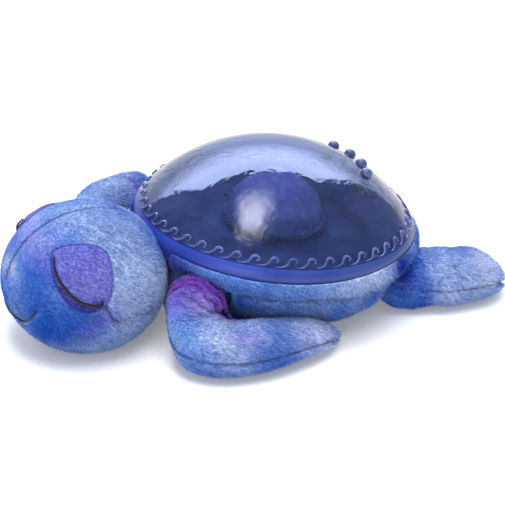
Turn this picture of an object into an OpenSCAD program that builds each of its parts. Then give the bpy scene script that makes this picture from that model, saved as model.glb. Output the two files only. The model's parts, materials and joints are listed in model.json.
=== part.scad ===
// Plush turtle night light: a stuffed turtle that carries a tinted water-effect lamp as its shell.
// Frame: +Z up, head toward -Y, the turtle's left side toward +X, origin on the floor under the shell's middle.
// Millimetres.

/* [Shell] */
// Largest radius of the shell
shell_r = 108.5; // [106:0.5:116]
// Height of the shell from its lower edge to its crown
shell_h = 64.5; // [60:0.5:70]
// Wall of the shell
shell_wall = 2.6; // [2:0.1:3.4]
// Radius of the shell's rounded shoulder
shoulder_r = 10; // [9.5:0.5:14]
// Height of the widest ring above the lower edge
shoulder_z = 5.5; // [3:0.5:6.5]
// Height of the shell's lower edge over the floor, at the middle
rim_z = 57; // [56:0.5:64]
// How far the front of the shell is tipped up, in degrees
shell_pitch = 6.4; // [2:0.1:8]

/* [Buttons] */
// Radius of a button
button_r = 4.6; // [3.6:0.1:5.4]
// Height of a button's rounded cap
button_cap_h = 3; // [1.6:0.1:3.4]
// Plan radius of the arc on which the buttons lie
button_arc_r = 66; // [60:1:72]
// Angle from one button to the next, in degrees
button_step = 16; // [13:0.5:18]
// Travel of a button
button_travel = 1; // [0.6:0.1:1.4]

/* [Housing] */
// Radius of the tub at its mouth
tub_r = 84; // [80:1:88]
// Depth of the tub below the shell's edge
tub_depth = 30; // [26:1:34]
// Taper of the tub's wall, from mouth to floor
tub_taper = 5; // [2:0.5:7]
// Wall of the tub and of the battery well
tub_wall = 2.2; // [1.8:0.1:3]
// Thickness of the flange under the shell
flange_t = 5; // [4.4:0.1:6]
// Radius of the battery well that shows in the belly
well_r = 44; // [43:0.5:47]
// Thickness of the well's floor
well_floor = 4; // [3.6:0.1:5]
// Thickness of the battery door
door_t = 2; // [1.6:0.1:2.4]
// Width of the ledge round the battery opening that the door lies on
door_ledge = 3.8; // [3:0.1:4.2]

/* [Light and drive] */
// Thickness of the deck plate
deck_t = 2; // [1.6:0.1:3]
// Radius of the ring on which the lens turns
bearing_r = 34; // [32:0.5:35]
// Height of the lens above its gear ring
lens_h = 33; // [16:1:35]
// Wall of the lens
lens_wall = 2; // [1.4:0.1:2.6]
// Module of the gears: pitch diameter over number of teeth
gear_module = 1.25; // [1.22:0.01:1.3]
// Thickness of the gears
gear_t = 4; // [3:0.1:5]
// Direction of the idler from the lens axis, in degrees
idler_angle = 150; // [140:1:160]
// Radius of the motor's can
motor_r = 12; // [10:0.5:13]
// Length of the motor's can
motor_h = 20; // [16:0.5:22]
// Radius of the round board that carries the lamps
led_board_r = 28; // [24:0.5:30]

/* [Power and sound] */
// Radius of an AA cell
cell_r = 7.25; // [7:0.05:7.25]
// Length of an AA cell with its contact nub
cell_l = 50.5; // [49:0.1:50.5]
// Radius of the speaker
speaker_r = 14; // [10:0.5:14.5]

/* [Plush body] */
// Radius of the flat part of the belly
belly_flat_r = 60; // [57.5:0.5:66]
// How far back the flat part of the belly lies
belly_shift = 12; // [6:0.5:14]
// Height from the seam round the body to the body's upper edge
seam_drop = 9; // [6:0.5:14]
// How far the seam lies inside the widest part of the body
seam_tuck = 6; // [4:0.5:10]

/* [Plush head] */
// Half width of the head
head_rx = 59; // [52:0.5:62]
// Half length of the head
head_ry = 61.5; // [56:0.5:66]
// Half height of the head
head_rz = 56; // [52:0.5:60]
// How far the head's underside is flattened by its weight
head_sink = 5; // [2:0.5:8]
// How far the head nods down, in degrees
head_pitch = 5; // [0:0.5:10]
// How far the head's back is flattened where it is sewn to the body
neck_sink = 5; // [3:0.5:9]
// Half length of an eyelid patch
eyelid_a = 23; // [16:0.5:26]
// Half height of an eyelid patch
eyelid_b = 21; // [13:0.5:23]
// Thickness of an eyelid patch
eyelid_t = 2; // [1:0.1:3]

/* [Flippers] */
// Radius of a front flipper's sewn root
front_root_r = 18; // [15:0.5:19]
// Height of a front flipper's root
front_root_z = 39; // [36:0.5:40]
// Direction of a front flipper's root from the middle, in degrees off the side
front_root_angle = 58.5; // [56:0.5:61]
// Half width of a front flipper where it is widest
front_half_w = 26.5; // [20:0.5:27.5]
// Half thickness of a front flipper toward its tip
front_half_t = 19.5; // [12:0.5:20.5]
// How far the right front flipper is swung out, in degrees
right_swing = 35; // [28:1:42]
// How far the right front flipper is raised, in degrees
right_lift = 35; // [24:1:36]
// Radius of a rear flipper's sewn root
rear_root_r = 17; // [14:0.5:18]
// Height of a rear flipper's root
rear_root_z = 22; // [20:0.5:23]
// Direction of a rear flipper's root from the middle, in degrees off the side
rear_root_angle = 48; // [44:0.5:54]
// Half width of a rear flipper where it is widest
rear_half_w = 27; // [20:0.5:29]
// Half thickness of a rear flipper toward its tip
rear_half_t = 21; // [14:0.5:22]

// How far the right rear flipper is swung out, in degrees
rear_right_swing = 32; // [24:1:40]
// How far the tip of a flipper turns up
tip_lift = 4; // [0:0.5:8]

/* [Fits] */
// Gap between pieces that lie next to each other
fit_gap = 0.3; // [0.2:0.05:0.5]
// Radial gap of a shaft that turns in its hole
run_gap = 0.05; // [0.02:0.01:0.1]
// Height of the flippers and the head over the floor
floor_gap = 0.5; // [0.2:0.1:1]

/* [Hidden] */
$fn = 48;

// Overshoot of a cut past the face that it opens
over = 1;
plush_blue = [0.42, 0.52, 0.85];
plush_deep = [0.25, 0.36, 0.78];
lid_violet = [0.42, 0.34, 0.72];
shell_tint = [0.27, 0.33, 0.66, 0.55];
button_blue = [0.42, 0.49, 0.68];
housing_blue = [0.30, 0.34, 0.66];
board_blue = [0.09, 0.13, 0.32];
gear_white = [0.90, 0.90, 0.86];
steel = [0.72, 0.72, 0.74];

// Shell: a crown sphere that runs into a shoulder ring without a kink
shoulder_x = shell_r - shoulder_r;
crown_rise = shell_h - shoulder_z;
crown_r = (pow(crown_rise, 2) - pow(shoulder_r, 2) + pow(shoulder_x, 2)) / (2 * (crown_rise - shoulder_r));
crown_z = shell_h - crown_r;
function edge_x(inset) = shoulder_x + sqrt(pow(shoulder_r - inset, 2) - pow(shoulder_z, 2));

// Screws
screw_r = 1.3;
screw_hole_r = screw_r + fit_gap;
pilot_r = screw_r + run_gap;
screw_head_r = 2.8;
screw_head_h = 1.9;
shell_screw_l = 12;
boss_r = 4;
boss_count = 4;
boss_place_r = edge_x(shell_wall) - boss_r - 5.4;

// Housing
spigot_r = edge_x(shell_wall) - fit_gap;
spigot_t = 2.4;
spigot_h = 3;
flange_r = edge_x(0) - 0.8;
tub_floor_z = tub_wall - tub_depth;
// The well runs up to the highest point of the tub's slanted floor
well_top_z = rim_z - tub_depth * cos(shell_pitch) + well_r * tan(shell_pitch) + tub_wall;
head_room = screw_head_h + fit_gap;
deck_r = spigot_r - spigot_t - fit_gap;
deck_screw_count = 3;
deck_screw_r = tub_r + (boss_place_r - tub_r) * 0.75;
deck_screw_turn = 30;

// Gear train
lens_teeth = 64;
idler_teeth = 20;
pinion_teeth = 12;
pressure_angle = 25;
backlash = 0.3;
gear_play = 0.05;
gear_z = deck_t + 3;
function pitch_r(teeth) = gear_module * teeth / 2;
function tip_r(teeth) = pitch_r(teeth) + 0.8 * gear_module;
function root_r(teeth) = pitch_r(teeth) - 1.05 * gear_module;
idler_reach = pitch_r(lens_teeth) + pitch_r(idler_teeth) + gear_play;
pinion_reach = pitch_r(idler_teeth) + pitch_r(pinion_teeth) + gear_play;
motor_reach = tip_r(lens_teeth) + tip_r(pinion_teeth) + 5;
motor_turn = acos((pow(idler_reach, 2) + pow(motor_reach, 2) - pow(pinion_reach, 2)) / (2 * idler_reach * motor_reach));
motor_angle = idler_angle + motor_turn;
function polar(r, a) = [r * cos(a), r * sin(a), 0];
idler_at = polar(idler_reach, idler_angle);
motor_at = polar(motor_reach, motor_angle);
// Tooth directions at rest, so that each tooth faces a gap
idler_tooth = idler_angle + 180 + 180 / idler_teeth;
mesh_angle = atan2(motor_at.y - idler_at.y, motor_at.x - idler_at.x);
pinion_tooth = mesh_angle + 180 - (idler_tooth - mesh_angle) * idler_teeth / pinion_teeth + 180 / pinion_teeth;
idler_pin_r = 1.5;
idler_hub_r = 3.5;
clip_t = 0.6;
shaft_r = 1;
hook_count = 3;
hook_w = 7;
hook_t = 2.4;
hook_gap = 0.8;

// Lens and lamps
lens_r = root_r(lens_teeth) - 0.4;
lens_sphere_r = (pow(lens_r, 2) + pow(lens_h, 2)) / (2 * lens_h);
lens_base_z = gear_z + gear_t;
bearing_t = 2.5;
board_t = 1.6;
led_board_z = deck_t + 3;
led_top_z = led_board_z + board_t;
led_r = 2.5;
led_count = 3;
led_place_r = 5.5;
reflector_r = 9.5;
reflector_h = 8;
reflector_t = 1.2;

// Buttons, in a frame whose origin lies on the shell's outer face and whose Z points out of it
button_count = 4;
button_tilt = asin(button_arc_r / crown_r);
button_flange_r = button_r + 1.5;
button_flange_t = 1.2;
button_rise = 2;
button_pin_r = 1.6;
function button_turn(i) = 90 + (i - (button_count - 1) / 2) * button_step;
function button_place(i) = [
    button_arc_r * cos(button_turn(i)),
    button_arc_r * (sin(button_turn(i)) - 1) * cos(button_tilt)
];
function shell_face_z(inset, reach) = sqrt(pow(crown_r - inset, 2) - pow(reach, 2)) - crown_r;
function button_flange_z(i) = shell_face_z(shell_wall, norm(button_place(i)) + button_flange_r) - fit_gap;
button_pin_z = button_flange_z(0) - button_flange_t - 1.3;
switch_top_z = button_pin_z - button_travel - fit_gap;
switch_w = 6;
switch_h = 3.5;
plunger_h = 1.5;
switch_board_z = switch_top_z - plunger_h - switch_h;
board_boss_r = 3;
board_boss_x = (abs(button_place(0).x) + abs(button_place(1).x)) / 2;
board_boss_y = (button_place(0).y + button_place(1).y) / 2;
board_pilot_r = 0.95;
board_margin = 9;

// Battery pack, along X in the well
cell_count = 3;
cell_pitch = 2 * cell_r + 0.5;
contact_t = 0.4;
spring_h = 3.2;
nub_h = 1.3;
nub_r = 2.7;
pack_wall = 1.6;
pack_l = cell_l + spring_h + 2 * contact_t;
pack_w = cell_count * cell_pitch + 0.4;
cell_z = door_t + fit_gap + cell_r;
pack_top_z = cell_z + cell_r + fit_gap;
door_l = pack_l + 2 * door_ledge;
door_w = pack_w + 2 * door_ledge;
door_seat_gap = 0.1;
door_lug_r = 6.5;
door_screw_y = door_w / 2 + 2;
door_boss_r = 2.9;
door_boss_h = 8;
door_tab = [9, 2.4, 1];
door_tab_x = 16;
main_board_size = [50, 38, board_t];
peg_inset = 5;
peg_r = 2.2;
peg_h = 3;
stake_r = 1.2;
main_board_z = pack_top_z + pack_wall + peg_h;

// Speaker, on the tub's floor in front of the well
speaker_gap = 1.8;
speaker_y = tub_r - tub_taper - tub_wall - speaker_gap - speaker_r;
speaker_h = 8;
grille_hole_r = 1.5;
grille_ring_r = 7;

// Plush body: rings round the tub, from the belly to the shell's flange
body_sides = 48;
belly_rings = 6;
flank_rings = 4;
body_top_r = flange_r - 2;
seam_r = body_top_r - seam_tuck;
neck_y = 3.5 - body_top_r;
rim_slope = tan(shell_pitch);
body_top_z = rim_z - (flange_t + fit_gap) / cos(shell_pitch);
seam_z = body_top_z - seam_drop;

// Plush head
head_sides = 28;
head_rings = 18;
head_z = head_rz - head_sink;
head_y = neck_y - fit_gap - (head_ry - neck_sink);
eye_dir = [0.84, -0.32, 0.45];
eyelid_rings = 4;
eyelid_sides = 20;

// Flippers: a spine from the root to the tip, as steps off the root in plan
loft_sides = 16;
loft_rings = 12;
root_rings = 4;
// The cloth is gathered by this share just past the root, over this share of the spine
gather_share = 0.07;
gather_end = 0.2;
front_root_reach = body_top_r - 1;
front_root = [front_root_reach * cos(front_root_angle), -front_root_reach * sin(front_root_angle)];
front_steps = [[0, 0], [40, -34], [51, 12], [42, 94]];
rear_root_reach = seam_r + 2;
rear_root = [rear_root_reach * cos(rear_root_angle), rear_root_reach * sin(rear_root_angle)];
rear_steps = [[0, 0], [2, 24], [13, 56], [9, 86]];

// Frame of the lamp: origin in the middle of the shell's lower edge, Z along the shell's axis
module lamp_frame() {
    translate([0, 0, rim_z])
        rotate([-shell_pitch, 0, 0])
            children();
}

// Frame of the buttons: Z out of the shell at the middle of their arc
module button_frame() {
    lamp_frame()
        translate([0, 0, crown_z])
            rotate([-button_tilt, 0, 0])
                translate([0, 0, crown_r])
                    children();
}

module ring_places(count, reach, turn) {
    for (i = [0 : count - 1])
        rotate([0, 0, turn + i * 360 / count])
            translate([reach, 0, 0])
                children();
}

module shell_boss_places() {
    ring_places(boss_count, boss_place_r, 45)
        children();
}

module deck_screw_places() {
    ring_places(deck_screw_count, deck_screw_r, deck_screw_turn)
        children();
}

module board_boss_places() {
    for (side = [-1, 1])
        translate([side * board_boss_x, board_boss_y, 0])
            children();
}

// A pan-head screw whose head rests on Z = 0 and whose shank runs down
module screw(r, l, head_r, head_h) {
    cylinder(r = head_r, h = head_h);
    translate([0, 0, -l])
        cylinder(r = r, h = l);
}

// Half section of the solid shell, drawn inset from its outer face
module dome_profile(inset) {
    wedge_l = 1.4 * crown_r;
    to_shoulder = [shoulder_x, shoulder_z - crown_z] / norm([shoulder_x, shoulder_z - crown_z]);
    intersection() {
        union() {
            intersection() {
                translate([0, crown_z])
                    circle(r = crown_r - inset);
                translate([0, crown_z])
                    polygon([[0, 0], wedge_l * to_shoulder, [0, wedge_l]]);
            }
            translate([shoulder_x, shoulder_z])
                circle(r = shoulder_r - inset);
            polygon([[0, 0], [edge_x(inset), 0], [shoulder_x, shoulder_z]]);
        }
        square([2 * shell_r, 2 * shell_h]);
    }
}

// Room of the shell and its flange, which the head is cut back from
module shell_room() {
    lamp_frame()
        rotate_extrude()
            union() {
                dome_profile(-fit_gap);
                translate([0, -flange_t - fit_gap])
                    square([edge_x(0) + fit_gap, flange_t + 2 * fit_gap]);
            }
}

// Outside of the tub and well, grown by a gap
module housing_room(gap) {
    lamp_frame()
        rotate_extrude()
            polygon([
                [0, -tub_depth - gap],
                [tub_r - tub_taper + gap, -tub_depth - gap],
                [tub_r + gap, 0],
                [0, 0]
            ]);
    translate([0, 0, gap > 0 ? -over : 0])
        cylinder(r = well_r + gap, h = well_top_z + (gap > 0 ? over : 0));
}

// Closed surface through rings of points, with a fan at each end
module ring_solid(rings, start, end) {
    count = len(rings);
    sides = len(rings[0]);
    points = concat([start], [for (ring = rings) each ring], [end]);
    last = len(points) - 1;
    function at(k, j) = 1 + k * sides + (j % sides);
    walls = [
        for (k = [0 : count - 2])
            for (j = [0 : sides - 1])
                each [
                    [at(k, j), at(k + 1, j), at(k + 1, j + 1)],
                    [at(k, j), at(k + 1, j + 1), at(k, j + 1)]
                ]
    ];
    start_fan = [for (j = [0 : sides - 1]) [0, at(0, j), at(0, j + 1)]];
    end_fan = [for (j = [0 : sides - 1]) [last, at(count - 1, j + 1), at(count - 1, j)]];
    polyhedron(points = points, faces = concat(walls, start_fan, end_fan), convexity = 4);
}

// One ring of the body about a middle at y = shift, on a slope that follows the shell's edge
function body_ring(r, shift, z, slope) = [
    for (j = [0 : body_sides - 1])
        let (a = -360 * j / body_sides)
        let (x = r * cos(a))
        let (y = max(shift + r * sin(a), neck_y))
        [x, y, z - slope * y]
];

belly_form = [
    for (k = [0 : belly_rings])
        let (share = k / belly_rings)
        let (swell = sin(90 * share))
        body_ring(
            belly_flat_r + (seam_r - belly_flat_r) * swell,
            belly_shift * (1 - swell),
            seam_z * share,
            rim_slope * share
        )
];

flank_form = [
    for (k = [0 : flank_rings])
        let (share = k / flank_rings)
        body_ring(seam_r + (body_top_r - seam_r) * sin(90 * share), 0, seam_z + seam_drop * share, rim_slope)
];

module body_cuts() {
    housing_room(fit_gap);
    for (side = [-1, 1]) {
        translate([side * front_root.x, front_root.y, front_root_z])
            sphere(r = front_root_r + fit_gap);
        translate([side * rear_root.x, rear_root.y, rear_root_z])
            sphere(r = rear_root_r + fit_gap);
    }
}

module plush_body() {
    color(plush_blue)
        difference() {
            ring_solid(flank_form, [0, 0, seam_z], [0, 0, body_top_z]);
            body_cuts();
        }
}

module belly_panel() {
    color(plush_deep)
        difference() {
            ring_solid(belly_form, [0, belly_shift, 0], [0, 0, seam_z]);
            body_cuts();
        }
}

// Point of the head's surface in a unit direction, raised by a height over it
function nod(p) = [
    p.x,
    p.y * cos(head_pitch) + p.z * sin(head_pitch),
    p.z * cos(head_pitch) - p.y * sin(head_pitch)
];
function head_point(d, rise) =
    let (p = [head_rx * d.x, head_ry * d.y, head_rz * d.z])
    nod(p * (1 + rise / norm(p))) + [0, head_y, head_z];

function head_ring(a) = [
    for (j = [0 : head_sides - 1])
        let (turn = 360 * j / head_sides)
        let (p = head_point([sin(a) * cos(turn), -cos(a), sin(a) * sin(turn)], 0))
        [p.x, min(p.y, neck_y - fit_gap), max(p.z, floor_gap)]
];

module plush_head() {
    color(plush_blue)
        difference() {
            ring_solid(
                [for (k = [1 : head_rings - 1]) head_ring(180 * k / head_rings)],
                head_point([0, -1, 0], 0),
                [0, neck_y - fit_gap, head_z]
            );
            shell_room();
        }
}

// An eyelid is a domed patch laid on the head, on the side that the sign gives
module eyelid(side) {
    out = eye_dir / norm(eye_dir);
    along = cross([0, 0, 1], out) / norm(cross([0, 0, 1], out));
    up = cross(out, along);
    reach = norm([head_rx * out.x, head_ry * out.y, head_rz * out.z]);
    function patch(share, turn, rise) =
        let (d = out + (along * eyelid_a * cos(turn) + up * eyelid_b * sin(turn)) * share / reach)
        head_point(d / norm(d), rise);
    function patch_ring(share, rise) = [
        for (j = [0 : eyelid_sides - 1]) patch(share, 360 * j / eyelid_sides, rise)
    ];
    inner = [for (k = [1 : eyelid_rings]) patch_ring(k / eyelid_rings, fit_gap / 2)];
    outer = [
        for (k = [eyelid_rings - 0.2 : -1 : 1])
            patch_ring(k / eyelid_rings, fit_gap / 2 + eyelid_t * sqrt(1 - pow(k / eyelid_rings, 2)))
    ];
    mirror([side < 0 ? 1 : 0, 0, 0])
        ring_solid(concat(inner, outer), patch(0, 0, fit_gap / 2), patch(0, 0, fit_gap / 2 + eyelid_t));
}

module eyelid_left() {
    color(lid_violet)
        eyelid(1);
}

module eyelid_right() {
    color(lid_violet)
        eyelid(-1);
}

// Flipper outline: swells from the root, tapers to a round tip
function smooth(t) = let (s = min(1, max(0, t))) s * s * (3 - 2 * s);
function tip_round(t) = sqrt(1 - pow(t, 4));
function gather(t) = t < gather_end ? sin(180 * t / gather_end) : 0;
function spine_point(p, t) =
    pow(1 - t, 3) * p[0] + 3 * pow(1 - t, 2) * t * p[1] + 3 * (1 - t) * t * t * p[2] + pow(t, 3) * p[3];
function spine_turn(p, t) =
    let (d = pow(1 - t, 2) * (p[1] - p[0]) + 2 * (1 - t) * t * (p[2] - p[1]) + t * t * (p[3] - p[2]))
    atan2(d.y, d.x);

// Upright oval section at a plan point, square to a plan direction
function oval(at, turn, z, half_w, half_t) = [
    for (j = [0 : loft_sides - 1])
        let (a = 360 * j / loft_sides)
        [at.x - sin(turn) * half_w * cos(a), at.y + cos(turn) * half_w * cos(a), z + half_t * sin(a)]
];

// A flipper about its root at the origin; root_z is the root's height over the floor
module flipper(steps, root_r, root_z, half_w, half_t) {
    heading = spine_turn(steps, 0);
    function section(t) =
        let (neck = root_r * (1 - gather_share * gather(t)))
        let (w = (neck + (half_w - root_r) * smooth((t - gather_end / 3) / 0.4)) * tip_round(t))
        let (h = (root_r + (half_t - root_r) * smooth(t / 0.7)) * tip_round(t))
        let (drop = root_z * (1 - smooth(t / 0.55)))
        let (z = max(drop, h + floor_gap) + tip_lift * pow(t, 3))
        oval(spine_point(steps, t), spine_turn(steps, t), z - root_z, w, h);
    function root_ring(a) =
        oval(-root_r * cos(a) * [cos(heading), sin(heading)], heading, 0, root_r * sin(a), root_r * sin(a));
    tip = spine_point(steps, 1);
    ring_solid(
        concat(
            [for (k = [1 : root_rings]) root_ring(90 * k / (root_rings + 1))],
            [for (k = [0 : loft_rings]) section(0.985 * sin(90 * k / (loft_rings + 1)))]
        ),
        -root_r * [cos(heading), sin(heading), 0],
        [tip.x, tip.y, floor_gap + 2 + tip_lift - root_z]
    );
}

module front_flipper(side, swing, lift) {
    mirror([side < 0 ? 1 : 0, 0, 0])
        translate([front_root.x, front_root.y, front_root_z])
            rotate([0, 0, -swing])
                rotate([0, -lift, 0])
                    flipper(front_steps, front_root_r, front_root_z, front_half_w, front_half_t);
}

module rear_flipper(side, swing) {
    mirror([side < 0 ? 1 : 0, 0, 0])
        translate([rear_root.x, rear_root.y, rear_root_z])
            rotate([0, 0, -swing])
                flipper(rear_steps, rear_root_r, rear_root_z, rear_half_w, rear_half_t);
}

module front_flipper_left() {
    color(plush_blue)
        front_flipper(1, 0, 0);
}

module front_flipper_right() {
    color(plush_blue)
        front_flipper(-1, right_swing, right_lift);
}

module rear_flipper_left() {
    color(plush_blue)
        rear_flipper(1, 0);
}

module rear_flipper_right() {
    color(plush_blue)
        rear_flipper(-1, rear_right_swing);
}

module shell_dome() {
    color(shell_tint)
        difference() {
            union() {
                lamp_frame()
                    rotate_extrude()
                        difference() {
                            dome_profile(0);
                            dome_profile(shell_wall);
                        }
                lamp_frame()
                    intersection() {
                        shell_boss_places()
                            cylinder(r = boss_r, h = shell_h);
                        rotate_extrude()
                            dome_profile(shell_wall / 2);
                    }
                button_frame()
                    intersection() {
                        board_boss_places()
                            translate([0, 0, switch_board_z])
                                cylinder(r = board_boss_r, h = -switch_board_z);
                        translate([0, 0, -crown_r])
                            sphere(r = crown_r - shell_wall / 2);
                    }
            }
            lamp_frame()
                shell_boss_places()
                    translate([0, 0, -over])
                        cylinder(r = pilot_r, h = shell_screw_l + over);
            button_frame() {
                for (i = [0 : button_count - 1])
                    translate([button_place(i).x, button_place(i).y, switch_top_z])
                        cylinder(r = button_r + fit_gap, h = -2 * switch_top_z);
                board_boss_places()
                    translate([0, 0, switch_board_z - over])
                        cylinder(r = board_pilot_r + run_gap, h = 6 + over);
            }
        }
}

// A push button: rounded cap above the shell, flange behind the wall, pin over its switch
module button(i) {
    reach = norm(button_place(i));
    flange_z = button_flange_z(i);
    cap_z = shell_face_z(0, reach) + button_rise;
    cap_sphere_r = (pow(button_r, 2) + pow(button_cap_h, 2)) / (2 * button_cap_h);
    color(button_blue)
        button_frame()
            translate([button_place(i).x, button_place(i).y, 0])
                rotate_extrude()
                    union() {
                        translate([0, flange_z - button_flange_t])
                            square([button_r, cap_z - flange_z + button_flange_t]);
                        translate([0, flange_z - button_flange_t])
                            square([button_flange_r, button_flange_t]);
                        translate([0, button_pin_z])
                            square([button_pin_r, flange_z - button_pin_z]);
                        intersection() {
                            translate([0, cap_z + button_cap_h - cap_sphere_r])
                                circle(r = cap_sphere_r);
                            translate([0, cap_z - button_rise])
                                square([button_r, button_cap_h + button_rise]);
                        }
                    }
}

module button_left_outer() {
    button(0);
}

module button_left_inner() {
    button(1);
}

module button_right_inner() {
    button(2);
}

module button_right_outer() {
    button(3);
}

// Outline of the battery door, in plan
module door_outline(gap) {
    translate([-door_l / 2 - gap, -door_w / 2 - gap])
        square([door_l + 2 * gap, door_w + 2 * gap]);
    translate([0, door_w / 2])
        circle(r = door_lug_r + gap);
}

module door_tabs(gap) {
    for (side = [-1, 1])
        translate([side * door_tab_x - door_tab.x / 2 - gap, -door_w / 2 - door_tab.y - gap, door_t - door_tab.z - gap])
            cube([door_tab.x + 2 * gap, door_tab.y + gap + over, door_tab.z + gap + door_seat_gap]);
}

module base_housing() {
    color(housing_blue)
        difference() {
            union() {
                difference() {
                    union() {
                        housing_room(0);
                        lamp_frame()
                            rotate_extrude()
                                polygon([
                                    [tub_r - tub_wall, -flange_t],
                                    [flange_r, -flange_t],
                                    [flange_r, 0],
                                    [spigot_r, 0],
                                    [spigot_r, spigot_h],
                                    [spigot_r - spigot_t, spigot_h],
                                    [spigot_r - spigot_t, 0],
                                    [tub_r - tub_wall, 0]
                                ]);
                    }
                    lamp_frame()
                        rotate_extrude()
                            polygon([
                                [0, tub_floor_z],
                                [tub_r - tub_taper - tub_wall, tub_floor_z],
                                [tub_r - tub_wall, over],
                                [0, over]
                            ]);
                    translate([0, 0, well_floor])
                        cylinder(r = well_r - tub_wall, h = rim_z);
                }
                translate([0, door_screw_y, door_t])
                    cylinder(r = door_boss_r, h = door_boss_h);
            }
            translate([0, 0, -over])
                linear_extrude(door_t + door_seat_gap + over)
                    door_outline(fit_gap);
            door_tabs(fit_gap);
            translate([-pack_l / 2, -pack_w / 2, 0])
                cube([pack_l, pack_w, well_floor + over]);
            translate([0, door_screw_y, 0])
                cylinder(r = pilot_r, h = door_t + door_boss_h - 1);
            lamp_frame() {
                shell_boss_places() {
                    translate([0, 0, -flange_t - over])
                        cylinder(r = screw_head_r + fit_gap, h = head_room + over);
                    translate([0, 0, -flange_t])
                        cylinder(r = screw_hole_r, h = flange_t + over);
                }
                deck_screw_places()
                    translate([0, 0, 0.6 - flange_t])
                        cylinder(r = pilot_r, h = flange_t);
                translate([0, -speaker_y, -tub_depth - over]) {
                    cylinder(r = grille_hole_r, h = tub_wall + 2 * over);
                    ring_places(6, grille_ring_r, 0)
                        cylinder(r = grille_hole_r, h = tub_wall + 2 * over);
                }
            }
        }
}

module shell_screws() {
    color(steel)
        lamp_frame()
            shell_boss_places()
                translate([0, 0, head_room - flange_t])
                    mirror([0, 0, 1])
                        screw(screw_r, shell_screw_l - 1 + flange_t - head_room, screw_head_r, screw_head_h);
}

module deck_screws() {
    color(steel)
        lamp_frame()
            deck_screw_places()
                translate([0, 0, deck_t])
                    screw(screw_r, deck_t + flange_t - 1, screw_head_r, screw_head_h);
}

// Snap hook that holds the gear ring of the lens down
module hook() {
    inner = tip_r(lens_teeth) + hook_gap;
    lip_z = gear_z + gear_t + fit_gap;
    lip = inner - lens_r - 1;
    translate([0, hook_w / 2, 0])
        rotate([90, 0, 0])
            linear_extrude(hook_w)
                polygon([
                    [inner, 0],
                    [inner + hook_t, 0],
                    [inner + hook_t, lip_z + 0.8],
                    [inner + hook_t - 1, lip_z + 1.6],
                    [inner - lip, lip_z + 0.8],
                    [inner - lip, lip_z],
                    [inner, lip_z]
                ]);
}

module deck() {
    color("white")
        lamp_frame() {
            difference() {
                union() {
                    cylinder(r = deck_r, h = deck_t);
                    rotate_extrude()
                        polygon([
                            [bearing_r - bearing_t, 0],
                            [bearing_r + 2.5, 0],
                            [bearing_r + 2.5, gear_z - fit_gap],
                            [bearing_r, gear_z - fit_gap],
                            [bearing_r, gear_z + gear_t - 0.5],
                            [bearing_r - bearing_t, gear_z + gear_t - 0.5]
                        ]);
                    ring_places(hook_count, 0, idler_angle + 60)
                        hook();
                    ring_places(3, led_board_r - 4, 30)
                        cylinder(r = 2.5, h = led_board_z);
                    translate(idler_at)
                        cylinder(r = idler_pin_r, h = gear_z + gear_t + fit_gap + clip_t + 0.6);
                }
                shell_boss_places()
                    translate([0, 0, -over])
                        cylinder(r = boss_r + fit_gap, h = deck_t + 2 * over);
                deck_screw_places()
                    translate([0, 0, -over])
                        cylinder(r = screw_hole_r, h = deck_t + 2 * over);
                translate(motor_at) {
                    translate([0, 0, -over])
                        cylinder(r = shaft_r + 2 * fit_gap, h = deck_t + 2 * over);
                    motor_ears()
                        translate([0, 0, -over])
                            cylinder(r = shaft_r + fit_gap, h = deck_t + 2 * over);
                }
            }
        }
}

// Involute gear outline with a tooth in the direction of +X
module gear_outline(teeth) {
    base_r = pitch_r(teeth) * cos(pressure_angle);
    function inv(a) = tan(a) * 180 / PI - a;
    function half_tooth(r) =
        90 / teeth - backlash / 4 / pitch_r(teeth) * 180 / PI
        + inv(pressure_angle) - inv(acos(min(1, base_r / r)));
    flank = [root_r(teeth), max(base_r, root_r(teeth) + 0.2), pitch_r(teeth), tip_r(teeth)];
    polygon([
        for (i = [0 : teeth - 1])
            each concat(
                [for (r = flank) let (a = 360 * i / teeth - half_tooth(r)) [r * cos(a), r * sin(a)]],
                [for (k = [3 : -1 : 0]) let (a = 360 * i / teeth + half_tooth(flank[k])) flank[k] * [cos(a), sin(a)]]
            )
    ]);
}

module lens_dome() {
    color([0.75, 0.8, 1, 0.6])
        lamp_frame()
            difference() {
                union() {
                    translate([0, 0, gear_z])
                        rotate([0, 0, idler_angle])
                            linear_extrude(gear_t)
                                gear_outline(lens_teeth);
                    rotate_extrude()
                        intersection() {
                            translate([0, lens_base_z + lens_h - lens_sphere_r])
                                difference() {
                                    circle(r = lens_sphere_r);
                                    circle(r = lens_sphere_r - lens_wall);
                                }
                            translate([0, lens_base_z - 1])
                                square([lens_r, lens_h + 1]);
                        }
                }
                translate([0, 0, gear_z - over])
                    cylinder(r = bearing_r + run_gap, h = gear_t + over);
            }
}

module idler_gear() {
    color(gear_white)
        lamp_frame()
            translate(idler_at)
                rotate([0, 0, idler_tooth])
                    difference() {
                        union() {
                            translate([0, 0, gear_z])
                                linear_extrude(gear_t)
                                    gear_outline(idler_teeth);
                            translate([0, 0, deck_t + fit_gap])
                                cylinder(r = idler_hub_r, h = gear_z - deck_t);
                        }
                        cylinder(r = idler_pin_r + run_gap, h = gear_z + gear_t + over);
                    }
}

module idler_clip() {
    color(steel)
        lamp_frame()
            translate(idler_at + [0, 0, gear_z + gear_t + fit_gap])
                difference() {
                    cylinder(r = idler_hub_r, h = clip_t);
                    translate([0, 0, -over])
                        cylinder(r = idler_pin_r, h = clip_t + 2 * over);
                }
}

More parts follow.
